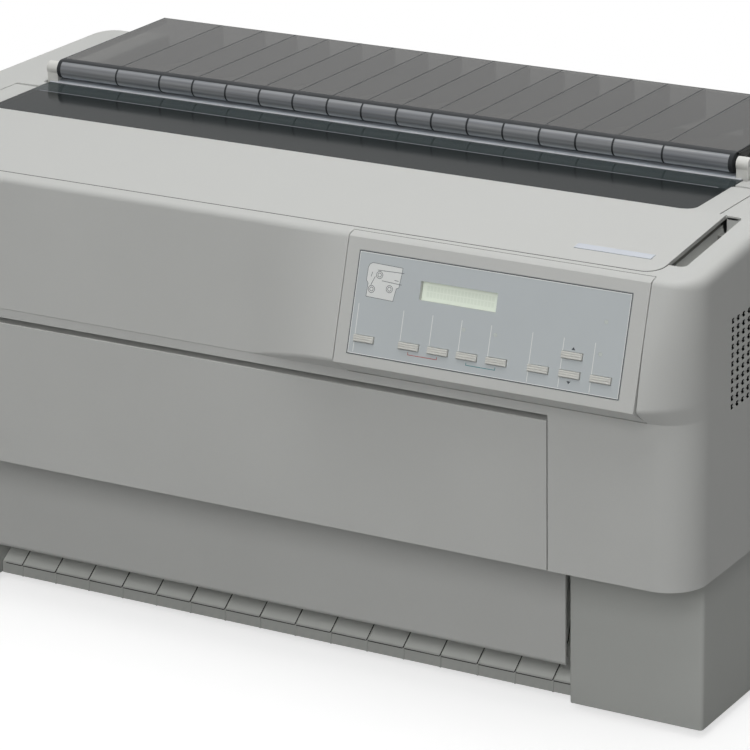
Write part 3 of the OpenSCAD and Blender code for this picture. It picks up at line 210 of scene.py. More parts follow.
# what most finishes share, and what the mouldings and the inks share
plainFinish = dict(vary=0.03, blotch=60, grain=1500, depth=0.0, stretch=(1, 1, 1), metallic=0.0, transmission=0.0,
                   ior=1.45, specular=0.5, bandAxis="Z")
moulded = dict(vary=0.018, blotch=9, depth=0.00005, rough=(0.46, 0.60))
printed = dict(blotch=80, grain=2500, rough=(0.45, 0.55))
finishes = {
    # colour is out of 255, vary is its drift, blotch and grain are noise scales per metre, depth is in metres,
    # bands give the share of the colour by height, or by bandAxis, in metres
    "casePlastic": dict(moulded, colour=(202, 203, 200)),
    "palePlastic": dict(colour=(226, 226, 221), vary=0.015, blotch=30, grain=2200, depth=0.00002, rough=(0.34, 0.46)),
    "keyPlastic": dict(colour=(214, 214, 208), vary=0.015, grain=2600, depth=0.00001, rough=(0.34, 0.46)),
    "overlayFilm": dict(colour=(194, 200, 202), vary=0.012, blotch=25, grain=2800, depth=0.00001, rough=(0.38, 0.46)),
    "smokedSheet": dict(colour=(118, 118, 116), vary=0.02, blotch=6, grain=900, rough=(0.05, 0.09), transmission=0.8,
                        ior=1.17),
    "smokedFin": dict(colour=(84, 84, 83), blotch=6, grain=900, rough=(0.1, 0.16), transmission=0.55, ior=1.15),
    # dark lines and rings on the separator and its lip: painted shade
    "smokedEdgePaintedShade": dict(colour=(58, 60, 62), vary=0.05, grain=900, rough=(0.5, 0.6), specular=0.1),
    "windowSmoke": dict(colour=(88, 97, 98), blotch=6, grain=900, rough=(0.08, 0.14), transmission=0.4, ior=1.1,
                        bandAxis="Y", bands=((-0.05, 0.36), (0.0064, 0.36), (0.0072, 0.85), (0.034, 1.0))),
    # the lip is opaque in place of clear plastic; its pale colour and its bands by height paint highlights and shade on
    # it: bright at the bottom, dark at the top
    "lipSmokePaintedLight": dict(colour=(228, 236, 249), vary=0.12, blotch=420, grain=900, rough=(0.14, 0.3),
                     stretch=(0.03, 1.0, 1.0),
                     bands=((0.3477, 1.0), (0.3496, 1.0), (0.3510, 0.62), (0.3524, 0.33), (0.354, 0.4), (0.3555, 0.26),
                            (0.3572, 0.31), (0.3588, 0.27), (0.3603, 0.42), (0.3613, 0.34), (0.3622, 0.08))),
    # the lower case is the case's own plastic made darker: painted shade under the overhang
    "basePlasticPaintedShade": dict(moulded, colour=(188, 190, 186)),
    # the paper guide is paler than the case to offset the shade under the flap, and its foot below 15 mm is darker:
    # painted light and shade
    "guidePaintedLightAndShade": dict(moulded, colour=(228, 230, 225),
                         bands=((0.0, 0.64), (0.0148, 0.64), (0.0158, 1.0), (0.062, 1.0))),
    # the catch is grey in place of pale plastic: painted shade of the pocket it sits in
    "catchPaintedShade": dict(colour=(112, 113, 109), blotch=20, depth=0.00004, rough=(0.5, 0.6)),
    # near black, for the walls of the vent's holes and the sheet behind them: painted shade
    "ventPaintedShade": dict(colour=(20, 20, 20), vary=0.05, blotch=40, grain=1200, rough=(0.8, 0.9), specular=0.05),
    "badgeLine": dict(colour=(136, 138, 144), grain=1200, rough=(0.5, 0.6), specular=0.2),
    # the rail is bright along its front edge and darker behind, where it runs under the lip: painted highlight and
    # shade
    "railPaintedLightAndShade": dict(colour=(196, 202, 209), rough=(0.3, 0.4),
                        bandAxis="Y", bands=((0.033, 1.0), (0.0338, 1.0), (0.0344, 0.55), (0.0384, 0.45))),
    "beadPlastic": dict(colour=(238, 240, 244), vary=0.02, rough=(0.2, 0.3)),
    # the display's cells and glass glow a little though no lamp lights them: painted light
    "lcdCellPaintedGlow": dict(colour=(227, 236, 221), vary=0.01, blotch=40, grain=2000, rough=(0.35, 0.45), glow=0.1),
    "lcdGlassPaintedGlow": dict(colour=(232, 240, 226), vary=0.01, blotch=40, grain=2000, rough=(0.35, 0.45), glow=0.12),
    "badgeSilver": dict(colour=(184, 189, 197), vary=0.02, depth=0.00001, rough=(0.3, 0.4), metallic=0.3),
    "darkPlastic": dict(colour=(40, 40, 42), vary=0.05, blotch=30, grain=1800, depth=0.00004, rough=(0.42, 0.58)),
    "softRubber": dict(colour=(28, 28, 29), vary=0.08, blotch=40, grain=1100, depth=0.00008, rough=(0.72, 0.88)),
    "platenRubber": dict(colour=(42, 42, 43), vary=0.06, blotch=18, grain=1700, depth=0.00004, rough=(0.58, 0.72)),
    "brushedSteel": dict(colour=(176, 178, 180), vary=0.05, blotch=20, grain=900, depth=0.00001, rough=(0.26, 0.42),
                         metallic=1.0, stretch=(0.08, 1.0, 1.0)),
    "groundSteel": dict(colour=(196, 198, 200), vary=0.04, blotch=30, grain=1800, depth=0.000005, rough=(0.14, 0.26),
                        metallic=1.0, stretch=(1.0, 0.1, 0.1)),
    "castMetal": dict(colour=(92, 94, 97), vary=0.08, blotch=40, grain=1300, depth=0.00006, rough=(0.42, 0.6),
                      metallic=0.7),
    "brassMetal": dict(colour=(190, 160, 92), vary=0.06, depth=0.00001, rough=(0.24, 0.4), metallic=1.0),
    "ivoryPlastic": dict(colour=(224, 218, 200), blotch=40, grain=2000, depth=0.00002, rough=(0.36, 0.5)),
    "circuitBoard": dict(colour=(38, 92, 62), vary=0.22, blotch=260, grain=600, depth=0.00003, rough=(0.3, 0.5)),
    "beltRubber": dict(colour=(34, 34, 36), vary=0.1, grain=500, depth=0.0001, rough=(0.6, 0.8)),
    "lampLens": dict(colour=(206, 212, 208), blotch=200, grain=1200, rough=(0.2, 0.3)),
    "whiteInk": dict(printed, colour=(232, 234, 232), vary=0.01),
    "redInk": dict(printed, colour=(178, 96, 92)),
    "tealInk": dict(printed, colour=(72, 140, 146)),
    "seamShadow": dict(colour=(66, 66, 64), grain=1200, rough=(0.7, 0.8), specular=0.1),
    "darkInk": dict(printed, colour=(70, 76, 82)),
}

noiseSettings = {
    "blotchDetail": 4, "grainDetail": 3,
    "grainShare": 0.35,  # of the grain in the colour's drift
    "spread": 2.2,  # colour drift for each unit of vary
    "tintFrom": (0.25, 0.75), "roughFrom": (0.3, 0.7),
    "bump": 0.6,
}


def addNoise(nodes, links, turn, scale, detail):
    noise = nodes.new("ShaderNodeTexNoise")
    setInputs(noise, {"Scale": scale, "Detail": detail})
    links.new(turn.outputs["Vector"], noise.inputs["Vector"])
    return noise


def addBands(nodes, links, place, tint, bands, axis):
    # multiplies the colour by a tone that goes with height or depth
    first, last = bands[0][0], bands[-1][0]
    part = nodes.new("ShaderNodeSeparateXYZ")
    links.new(place.outputs["Object"], part.inputs["Vector"])
    climb = nodes.new("ShaderNodeMapRange")
    setInputs(climb, {"From Min": first, "From Max": last})
    links.new(part.outputs[axis], climb.inputs["Value"])
    tone = nodes.new("ShaderNodeValToRGB")
    spots = tone.color_ramp.elements
    while len(spots) < len(bands):
        spots.new(0.5)
    for spot, (where, share) in zip(spots, bands):
        spot.position = (where - first) / (last - first)
        spot.color = (share, share, share, 1)
    links.new(climb.outputs["Result"], tone.inputs["Fac"])
    mixed = nodes.new("ShaderNodeMix")
    mixed.data_type, mixed.blend_type = "RGBA", "MULTIPLY"
    setInputs(mixed, {"Factor": 1})
    colours = [i for i in mixed.inputs if i.type == "RGBA"]
    links.new(tint.outputs["Color"], colours[0])
    links.new(tone.outputs["Color"], colours[1])
    return [o for o in mixed.outputs if o.type == "RGBA"][0]


def makeFinish(name, own, noise):
    cfg = {**plainFinish, **own}
    mat = bpy.data.materials.new(name)
    mat.use_nodes = True
    nodes, links = mat.node_tree.nodes, mat.node_tree.links
    bsdf = nodes["Principled BSDF"]
    place = nodes.new("ShaderNodeTexCoord")
    turn = nodes.new("ShaderNodeMapping")
    setInputs(turn, {"Scale": cfg["stretch"]})
    links.new(place.outputs["Object"], turn.inputs["Vector"])
    blotch = addNoise(nodes, links, turn, cfg["blotch"], noise["blotchDetail"])  # slow drift of the colour
    grain = addNoise(nodes, links, turn, cfg["grain"], noise["grainDetail"])  # fine grain of the surface
    both = nodes.new("ShaderNodeMix")
    both.data_type = "FLOAT"
    setInputs(both, {"Factor": noise["grainShare"]})
    links.new(blotch.outputs["Fac"], both.inputs["A"])
    links.new(grain.outputs["Fac"], both.inputs["B"])
    tint = nodes.new("ShaderNodeValToRGB")
    base = fromSrgb(*cfg["colour"])
    drift = cfg["vary"] * noise["spread"]
    for end, where, share in zip(tint.color_ramp.elements, noise["tintFrom"], (1 - drift, 1 + drift)):
        end.position = where
        end.color = (*[min(1, c * share) for c in base], 1)
    links.new(both.outputs["Result"], tint.inputs["Fac"])
    colour = tint.outputs["Color"]
    if "bands" in cfg:
        colour = addBands(nodes, links, place, tint, cfg["bands"], cfg["bandAxis"])
    links.new(colour, bsdf.inputs["Base Color"])
    rough = nodes.new("ShaderNodeMapRange")
    ends = noise["roughFrom"] + cfg["rough"]
    setInputs(rough, dict(zip(("From Min", "From Max", "To Min", "To Max"), ends)))
    links.new(blotch.outputs["Fac"], rough.inputs["Value"])
    links.new(rough.outputs["Result"], bsdf.inputs["Roughness"])
    if cfg["depth"] > 0:
        bump = nodes.new("ShaderNodeBump")
        setInputs(bump, {"Strength": noise["bump"], "Distance": cfg["depth"]})
        links.new(grain.outputs["Fac"], bump.inputs["Height"])
        links.new(bump.outputs["Normal"], bsdf.inputs["Normal"])
    setInputs(bsdf, {"Metallic": cfg["metallic"], "Transmission Weight": cfg["transmission"],
                     "IOR": cfg["ior"], "Specular IOR Level": cfg["specular"]})
    # glow is emission on a part that is no lamp: painted light
    if "glow" in cfg:
        setInputs(bsdf, {"Emission Color": (*base, 1), "Emission Strength": cfg["glow"]})
    return mat


finish = {name: makeFinish(name, cfg, noiseSettings) for name, cfg in finishes.items()}
print("finishes made:", len(finish))

# CAD nodes that keep their own shape, with the finish of each
nodeFinishes = {
    "overlayFilm": ["panel_overlay"],
    "circuitBoard": ["control_board", "main_board"],
    "lcdGlassPaintedGlow": ["lcd_module"],
    "lampLens": ["indicator_lamps"],
    "softRubber": ["feet"],
    "brushedSteel": ["base_plate", "side_frame_left", "side_frame_right", "power_supply", "rear_panel"],
    "groundSteel": ["guide_shafts", "hinge_pins", "front_tractor_shaft", "rear_tractor_shaft"],
    "platenRubber": ["platen"],
    "castMetal": ["carriage", "print_head", "carriage_motor", "paper_feed_motor"],
    "darkPlastic": ["ribbon_cartridge", "fan_frame", "fan_rotor", "power_switch", "ac_inlet", "interface_connectors",
                    "front_tractor_left", "front_tractor_right", "rear_tractor_left", "rear_tractor_right"],
    "beltRubber": ["carriage_belt"],
    "ivoryPlastic": ["upper_idler_gear", "lower_idler_gear", "rear_idler_gear", "drive_pulley", "idler_pulley"],
    "brassMetal": ["motor_pinion"],
}


def dressNodes(table):
    for name, members in table.items():
        for node in members:
            for slot in frame["nodes"][node].material_slots:
                slot.material = finish[name]


dressNodes(nodeFinishes)

# shared modelling helpers

helpers = {
    "mergeWithin": 0.00001,  # metres
    "flatWithin": 0.6,  # degrees between faces that count as one
    "smoothUnder": 32, "normalWeight": 80,
}


def makeActive(obj):
    bpy.ops.object.select_all(action="DESELECT")
    obj.select_set(True)
    bpy.context.view_layer.objects.active = obj


def applyPlace(obj):
    # its place goes into its mesh, and it to the origin
    makeActive(obj)
    bpy.ops.object.transform_apply(location=True, rotation=True, scale=True)


def addMesh(name, verts, faces):
    mesh = bpy.data.meshes.new(name)
    mesh.from_pydata(verts, [], faces)
    return addObject(name, mesh)


def prismFaces(n):
    # sides and ends of a prism whose outline of n points is given twice
    sides = [[i, (i + 1) % n, n + (i + 1) % n, n + i] for i in range(n)]
    return sides + [list(reversed(range(n))), list(range(n, 2 * n))]


def startEdit(obj, action="SELECT"):
    makeActive(obj)
    bpy.ops.object.mode_set(mode="EDIT")
    bpy.ops.mesh.select_all(action=action)


def endEdit():
    bpy.ops.object.mode_set(mode="OBJECT")


def faceOutwards(obj):
    startEdit(obj)
    bpy.ops.mesh.normals_make_consistent(inside=False)
    endEdit()


def takeShape(node, name, cleaned):
    # a merged copy of a CAD node; cleaned joins the triangles of its flat faces
    obj = addObject(name, frame["nodes"][node].data.copy())
    makeActive(obj)
    bpy.ops.mesh.customdata_custom_splitnormals_clear()
    startEdit(obj)
    bpy.ops.mesh.remove_doubles(threshold=helpers["mergeWithin"])
    bpy.ops.mesh.faces_shade_smooth()
    bpy.ops.mesh.mark_sharp(clear=True)
    if cleaned:
        bpy.ops.mesh.dissolve_limited(angle_limit=math.radians(helpers["flatWithin"]))
    endEdit()
    return obj


def applyModifier(obj, kind, **settings):
    makeActive(obj)
    mod = obj.modifiers.new(kind.lower(), kind)
    for key, value in settings.items():
        setattr(mod, key, value)
    bpy.ops.object.modifier_apply(modifier=mod.name)


def roundEdges(obj, width, segments=2, angle=28):
    # small radius on every edge sharper than the angle, then clean shading
    applyModifier(obj, "BEVEL", width=width * mm, segments=segments, limit_method="ANGLE",
                  angle_limit=math.radians(angle), use_clamp_overlap=False, miter_outer="MITER_ARC",
                  harden_normals=False)
    shadeSmooth(obj)


def shadeSmooth(obj):
    makeActive(obj)
    bpy.ops.object.shade_smooth_by_angle(angle=math.radians(helpers["smoothUnder"]))
    applyModifier(obj, "WEIGHTED_NORMAL", weight=helpers["normalWeight"], keep_sharp=True)


def dress(obj, finishName):
    obj.data.materials.clear()
    obj.data.materials.append(finish[finishName])


def rideWith(obj, finishName, node):
    # for a piece with no node of its own
    dress(obj, finishName)
    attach(obj, frame["nodes"][node]["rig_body"])


def standFor(obj, finishName, node):
    # for a piece that takes the node's place
    dress(obj, finishName)
    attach(obj, frame["nodes"][node]["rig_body"])
    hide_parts(node)


# mouldings that take the CAD shape and get rounded edges
softenedNodes = {
    # piece: node, finish, slot, edge radius in mm, segments
    "lowerCase": ("base_case", "basePlasticPaintedShade", "case_plastic", 0.9, 3),
    "topCover": ("top_cover", "casePlastic", "case_plastic", 0.35, 2),
    "frontDoor": ("front_cover", "casePlastic", "case_plastic", 0.7, 3),
    "lowerFlap": ("lower_flap", "casePlastic", "case_plastic", 0.5, 2),
    "paperGuide": ("front_paper_guide", "guidePaintedLightAndShade", "case_plastic", 0.3, 2),
    "panelHousing": ("control_panel_housing", "casePlastic", "case_plastic", 0.35, 2),
    "coverCatch": ("cover_catch", "catchPaintedShade", "pale_plastic", 0.4, 2),
    "pivotSupports": ("separator_pivots", "palePlastic", "pale_plastic", 0.5, 3),
    "badgePlate": ("badge_plate", "badgeSilver", "pale_plastic", 0.15, 2),
    "windowSheet": ("cover_window", "windowSmoke", "smoked", 0.4, 3),
}
keepTriangles = ("panelHousing", "topCover")  # their flat faces fold when joined


def addSoftened(table):
    for name, (node, finishName, slot, radius, segments) in table.items():
        obj = takeShape(node, name, name not in keepTriangles)
        roundEdges(obj, radius, segments)
        standFor(obj, finishName, node)
        print("softened", name, len(obj.data.polygons), "faces")


addSoftened(softenedNodes)

buttonNames = ["tractor_select", "font", "pitch", "tear_off", "top_of_form", "load", "micro_up", "micro_down", "pause"]
addSoftened({"key" + "".join(word.capitalize() for word in button.split("_")):
             ("button_" + button, "keyPlastic", "pale_plastic", 0.12, 2) for button in buttonNames})
print("mouldings and buttons made")

# simple solids in millimetres, left at the origin


def addBlock(name, x0, x1, y0, y1, z0, z1):
    bpy.ops.mesh.primitive_cube_add(size=1, location=((x0 + x1) / 2 * mm, (y0 + y1) / 2 * mm, (z0 + z1) / 2 * mm))
    obj = bpy.context.object
    obj.name = name
    obj.scale = ((x1 - x0) * mm, (y1 - y0) * mm, (z1 - z0) * mm)
    applyPlace(obj)
    return obj


def addRod(name, x0, x1, y, z, radius, sides):
    bpy.ops.mesh.primitive_cylinder_add(vertices=sides, radius=radius * mm, depth=(x1 - x0) * mm,
                                        location=((x0 + x1) / 2 * mm, y * mm, z * mm), rotation=(0, math.pi / 2, 0))
    obj = bpy.context.object
    obj.name = name
    applyPlace(obj)
    return obj


def addPlate(points, push):
    # flat plate with the outline of the points, made thick by the push
    bpy.ops.mesh.primitive_circle_add(vertices=len(points), radius=mm, fill_type="NGON")
    obj = bpy.context.object
    for vert, point in zip(obj.data.vertices, points):
        vert.co = Vector(point) * mm
    startEdit(obj)
    bpy.ops.mesh.extrude_region_move(TRANSFORM_OT_translate={"value": tuple(c * mm for c in push)})
    endEdit()
    faceOutwards(obj)
    return obj


def joinPieces(parts, name):
    makeActive(parts[0])
    for part in parts:
        part.select_set(True)
    if len(parts) > 1:
        bpy.ops.object.join()
    obj = bpy.context.object
    obj.name = name
    return obj


def cutAway(obj, tool):
    applyModifier(obj, "BOOLEAN", object=tool, operation="DIFFERENCE", solver="EXACT")
    bpy.data.objects.remove(tool)


# the upper case: a lofted shell whose swell fades out to the left and wraps round the right corner
caseShape = {
    "halfWidth": 350, "cornerY": -142, "rearY": 191, "rearRadius": 20,
    "bottomZ": 117, "chinZ": 236, "crestRise": 12.6, "bulge": 20, "frontRadius": 29, "edgeRadius": 23,
    "topZ": 345, "flatY": -48, "slope": 6,
    "fade": (2.5, 88.6),  # the swell grows from its least to full between these x
    "leastSwell": 0.03,
    "fillets": (0.8, 2.5, 4.0, 9.0, 5.0), # chin, crest, top edge at the front, at the sides, at the rear
    "filletSteps": (3, 4, 7),  # chin, crest, top edge
    "topReach": 2.3,  # flat part of the top beyond its edge, in radii
    "wall": 3,
    "mergeWithin": 0.000002,  # metres
    "cornerSteps": 16, "rearSteps": 10,
    "hair": 1e-9,  # tells left from right on the middle line
    "frontX": [-280, -220, -160, -100, -50, 0, 2.5] + [2.5 + 86.1 * k / 14 for k in range(1, 15)]
              + [130, 180, 230, 270],
    "sideY": [-120, -95, -70, -48, 0, 60, 120],
    "rearX": [240, 120, 0, -120, -240],
}


def blend(t):
    t = min(1.0, max(0.0, t))
    return t * t * (3 - 2 * t)


def swellAt(x, cfg):
    a, b = cfg["fade"]
    return max(blend((x - a) / (b - a)), cfg["leastSwell"])


def topAt(y, cfg):
    return cfg["topZ"] - max(0, cfg["flatY"] - y) * math.tan(math.radians(cfg["slope"]))


def cornerStations(kind, start, sweep, steps, before, after):
    angles = [math.radians(start + sweep * k / steps) for k in range(steps + 1)]
    return [(kind, a, (-math.cos(a), -math.sin(a)), before + (after - before) * blend(k / steps))
            for k, a in enumerate(angles)]


def caseStations(cfg):
    # stations round the plan: kind, position or angle, inward direction, radius of the top edge
    front, side, rear = cfg["fillets"][2:]
    steps, rearSteps = cfg["cornerSteps"], cfg["rearSteps"]
    out = [("front", x, (0, 1), front) for x in cfg["frontX"]]
    out += cornerStations("corner", -90, 90, steps, front, side)
    out += [("side", y, (-1, 0), side) for y in cfg["sideY"]]
    out += cornerStations("rearCorner", 0, 90, rearSteps, side, rear)
    out += [("rear", x, (0, -1), rear) for x in cfg["rearX"]]
    out += cornerStations("rearCorner", 90.001, 89.999, rearSteps, rear, side)  # past the middle, so on the left
    out += [("side", y, (1, 0), side) for y in reversed(cfg["sideY"])]
    out += cornerStations("corner", 180, 90, steps, side, front)
    return out


def stationPlan(kind, where, inward, radius, inset, cfg):
    # plan position of a station on the level whose front corners have this radius
    half = cfg["halfWidth"]
    if kind == "front":
        return where, cfg["cornerY"] - radius + inset
    if kind == "side":
        return -inward[0] * (half - inset), where
    if kind == "rear":
        return where, cfg["rearY"] - inset
    if kind == "rearCorner":
        r = cfg["rearRadius"]
        cx = math.copysign(half - r, math.cos(where))
        return cx + (r - inset) * math.cos(where), cfg["rearY"] - r + (r - inset) * math.sin(where)
    cx = math.copysign(half - radius, math.cos(where) + (cfg["hair"] if where < 0 else -cfg["hair"]))
    return cx + (radius - inset) * math.cos(where), cfg["cornerY"] + (radius - inset) * math.sin(where)


def roundedCorner(before, corner, after, radius, steps):
    # curve that replaces a corner and leaves both sides smoothly
    a, b = before - corner, after - corner
    reach = min(radius, a.length * 0.45, b.length * 0.45)  # leaves room for the next corner
    start, end = corner + a.normalized() * reach, corner + b.normalized() * reach
    shares = [k / steps for k in range(steps + 1)]
    return [start * (1 - t) ** 2 + corner * 2 * t * (1 - t) + end * t ** 2 for t in shares]


def caseProfile(station, inset, cfg):
    kind, where, inward, topRadius = station
    if kind == "front":
        f = swellAt(where, cfg)
    elif kind in ("corner", "side"):
        f = cfg["leastSwell"] if inward[0] > 0 or (kind == "corner" and where > 1) else 1.0
    else:
        x = where if kind == "rear" else cfg["halfWidth"] * math.cos(where)
        f = swellAt(x, cfg)
    low = stationPlan(kind, where, inward, cfg["frontRadius"], inset, cfg)
    crest = stationPlan(kind, where, inward, cfg["frontRadius"] + cfg["bulge"] * f, inset, cfg)
    edge = stationPlan(kind, where, inward, cfg["edgeRadius"], inset, cfg)
    bottom = Vector((*low, cfg["bottomZ"] + inset))
    root = Vector((*low, cfg["chinZ"]))
    crest = Vector((*crest, cfg["chinZ"] + cfg["crestRise"] * f))
    top = Vector((*edge, topAt(edge[1], cfg) - inset))
    reach = max(topRadius - inset, 1.0)
    over = (edge[0] + inward[0] * reach * cfg["topReach"], edge[1] + inward[1] * reach * cfg["topReach"])
    flat = Vector((*over, topAt(over[1], cfg) - inset))
    chin, bend = cfg["fillets"][:2]
    chinSteps, bendSteps, topSteps = cfg["filletSteps"]
    return ([bottom] + roundedCorner(bottom, root, crest, chin, chinSteps)
            + roundedCorner(root, crest, top, bend, bendSteps) + roundedCorner(crest, top, flat, reach, topSteps))


def skin(stations, inset, cfg, verts, faces, inside):
    # one closed surface of the shell
    base = len(verts)
    columns = [caseProfile(s, inset, cfg) for s in stations]
    rows, n = len(columns[0]), len(columns)
    for column in columns:
        verts += [p * mm for p in column]

    def at(i, j):
        return base + (i % n) * rows + j

    new = [[at(i, j), at(i + 1, j), at(i + 1, j + 1), at(i, j + 1)] for i in range(n) for j in range(rows - 1)]
    new.append([at(i, 0) for i in reversed(range(n))])
    # the sloping and the level part of the top meet in the two stations where the slope ends
    ends = [i for i, s in enumerate(stations) if s[0] == "side" and s[1] == cfg["flatY"]]
    new.append([at(i, rows - 1) for i in range(ends[0], ends[1] + 1)])
    new.append([at(i, rows - 1) for i in list(range(ends[1], n)) + list(range(0, ends[0] + 1))])
    faces += [f[::-1] for f in new] if inside else new


def extrudedOutline(name, outline, z0, z1):
    return addMesh(name, [Vector((x, y, z)) * mm for z in (z0, z1) for x, y in outline], prismFaces(len(outline)))


def arcPoints(cx, cy, r, a0, a1, steps=10):
    angles = [math.radians(a0 + (a1 - a0) * k / steps) for k in range(steps + 1)]
    return [(cx + r * math.cos(a), cy + r * math.sin(a)) for a in angles]


caseCuts = {
    "cover": dict(front=316.8, rear=311.8, y0=-153.8, stepY=-48, y1=17.8, r=13.0, z0=290, z1=370),
    "pocket": dict(x0=313, x1=329, y0=-138, y1=-49, r=4.0, z0=320.7, z1=370),
    "boxes": [  # x0, x1, y0, y1, z0, z1
        (-285.4, 285.4, 16, 193, 326, 350), (-244.5, 244.5, -172, -167.5, 116, 229),
        (-244.5, 244.5, -172.2, -147, 116, 120.4), (-244, 244, -148, 161, 116, 120.4),
        (-302, 302, -61, 181, 116, 120.4), (90.1, 318.4, -193, -158, 235.6, 335.7)],
    "pairs": [(284.4, 291.8, 16, 33, 334, 350), (284.4, 295.5, 29, 46, 334, 350)],
    "vent": dict(y=-107.4, z=232.3, rows=11, cols=15, rowPitch=6.03, colPitch=8.4,
                 hole=3.8, holeX=(345, 353), groove=1.0, grooveX=(350 - 0.6, 352), grooveOver=2,
                 walls=((345.5, 349.2), (-114, 17), (227, 298)), wallTilt=0.5),
    "edge": 0.35, "edgeAngle": 40,
}


def coverCutter(cfg):
    r, w, rear, step = cfg["r"], cfg["front"], cfg["rear"], cfg["stepY"]
    outline = arcPoints(-w + r, cfg["y0"] + r, r, 180, 270) + arcPoints(w - r, cfg["y0"] + r, r, 270, 360)
    outline += [(w, step), (rear, step), (rear, cfg["y1"]), (-rear, cfg["y1"]), (-rear, step), (-w, step)]
    return extrudedOutline("coverCut", outline, cfg["z0"], cfg["z1"])


def pocketCutter(cfg):
    x0, x, r = cfg["x0"], cfg["x1"] - cfg["r"], cfg["r"]
    front, rear = arcPoints(x, cfg["y0"] + r, r, 270, 360), arcPoints(x, cfg["y1"] - r, r, 0, 90)
    return extrudedOutline("pocketCut", [(x0, cfg["y0"])] + front + rear + [(x0, cfg["y1"])], cfg["z0"], cfg["z1"])


def cutVent(case, cfg):
    holes, grooves = [], []
    half, thin, over = cfg["hole"] / 2, cfg["groove"] / 2, cfg["grooveOver"]
    for row in range(cfg["rows"]):
        z = cfg["z"] + row * cfg["rowPitch"]
        end = cfg["y"] + (cfg["cols"] - 1) * cfg["colPitch"]
        grooves.append(addBlock("groove", *cfg["grooveX"], cfg["y"] - over, end + over, z - thin, z + thin))
        for col in range(cfg["cols"]):
            y = cfg["y"] + col * cfg["colPitch"]
            holes.append(addBlock("hole", *cfg["holeX"], y - half, y + half, z - half, z + half))
    cutAway(case, joinPieces(holes, "ventHoles"))
    cutAway(case, joinPieces(grooves, "ventGrooves"))


def paintVentShade(case, cfg):
    # the walls of the vent's holes take the second finish, near black: painted shade in the holes
    for face in case.data.polygons:
        within = all(low < c < high for c, (low, high) in zip(face.center / mm, cfg["walls"]))
        if within and abs(face.normal.x) < cfg["wallTilt"]:
            face.material_index = 1


def addCase(cfg, cuts):
    stations = caseStations(cfg)
    verts, faces = [], []
    skin(stations, 0, cfg, verts, faces, False)
    skin(stations, cfg["wall"], cfg, verts, faces, True)
    case = addMesh("upperCase", verts, faces)
    startEdit(case)
    bpy.ops.mesh.remove_doubles(threshold=cfg["mergeWithin"])
    endEdit()
    cutAway(case, coverCutter(cuts["cover"]))
    cutAway(case, pocketCutter(cuts["pocket"]))
    for box in cuts["boxes"]:
        cutAway(case, addBlock("cut", *box))
    for box in cuts["pairs"]:
        cutAway(case, addBlock("cut", *box))
        cutAway(case, addBlock("cut", -box[1], -box[0], *box[2:]))
    cutVent(case, cuts["vent"])
    roundEdges(case, cuts["edge"], 2, angle=cuts["edgeAngle"])
    standFor(case, "casePlastic", "main_case")
    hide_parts("main_case", "side_vent")
    case.data.materials.append(finish["ventPaintedShade"])
    paintVentShade(case, cuts["vent"])
    print("upper case", len(case.data.polygons), "faces")


addCase(caseShape, caseCuts)

# walls, stops and ledges inside the upper case; each box is x0, x1, y0, y1, z0, z1
innerShape = {
    "upperZ": 330,  # corners over this follow the slope of the case's top
    "pocket": dict(box=(317, 331.5, -140.5, -46.5, 318.7, 344), below=1.2, right=332),
    "slant": dict(box=(311, 318, -138.2, -48.8, 318.7, 336), below=7, right=314),
    "stops": [(-247.7, 247.7, -168.2, -160, 229, 232), (-247.7, 247.7, -163, -160.1, 219, 230)],
    "ledges": [(245, 250, -168.2, -157, 119.8, 129), (245, 250, -136, -122, 119.8, 137),
               (224.9, 233.9, 174, 188.2, 323, 337.9), (260, 347.2, 33.4, 45, 331, 334),
               (311.8, 318, 8.2, 19.2, 335.2, 342.2)],
    "felt": (346.76, 346.96, -113, 16, 228, 297),
}


def addSloped(name, cfg, upperZ):
    block = addBlock(name, *cfg["box"])
    for vert in block.data.vertices:
        if vert.co.z > upperZ * mm:
            vert.co.z = (topAt(vert.co.y / mm, caseShape) - cfg["below"]) * mm
            vert.co.x = min(vert.co.x, cfg["right"] * mm)
    return block


def addInnerPieces(cfg, cuts):
    pocket = addSloped("pocketWalls", cfg["pocket"], cfg["upperZ"])
    cutAway(pocket, coverCutter(cuts["cover"]))
    cutAway(pocket, pocketCutter(cuts["pocket"]))
    ledges = [pocket, addSloped("pocketSlant", cfg["slant"], cfg["upperZ"])]
    ledges += [addBlock("stop", *box) for box in cfg["stops"]]
    for s in (-1, 1):
        ledges += [addBlock("ledge", *sorted((s * x0, s * x1)), *rest) for x0, x1, *rest in cfg["ledges"]]
    inner = joinPieces(ledges, "caseLedges")
    shadeSmooth(inner)
    standFor(inner, "casePlastic", "main_case")
    # a dark sheet behind the vent's holes, where there is only shade: painted shade
    felt = addBlock("ventShadeSheet", *cfg["felt"])
    standFor(felt, "ventPaintedShade", "side_vent")


addInnerPieces(innerShape, caseCuts)

guideLines = {
    "ribs": [(2 * i / 15 - 1) * 225 for i in range(16)],
    "profile": [(-126.8, 15.0), (-114.6, 23.6), (-103.2, 36.2), (-95.4, 61.6)],  # along the front of a rib: y, z
    "width": 0.8, "raise": 0.25, "lip": (-240, 240, -126.2, -125.8, 14.2, 14.7),
}


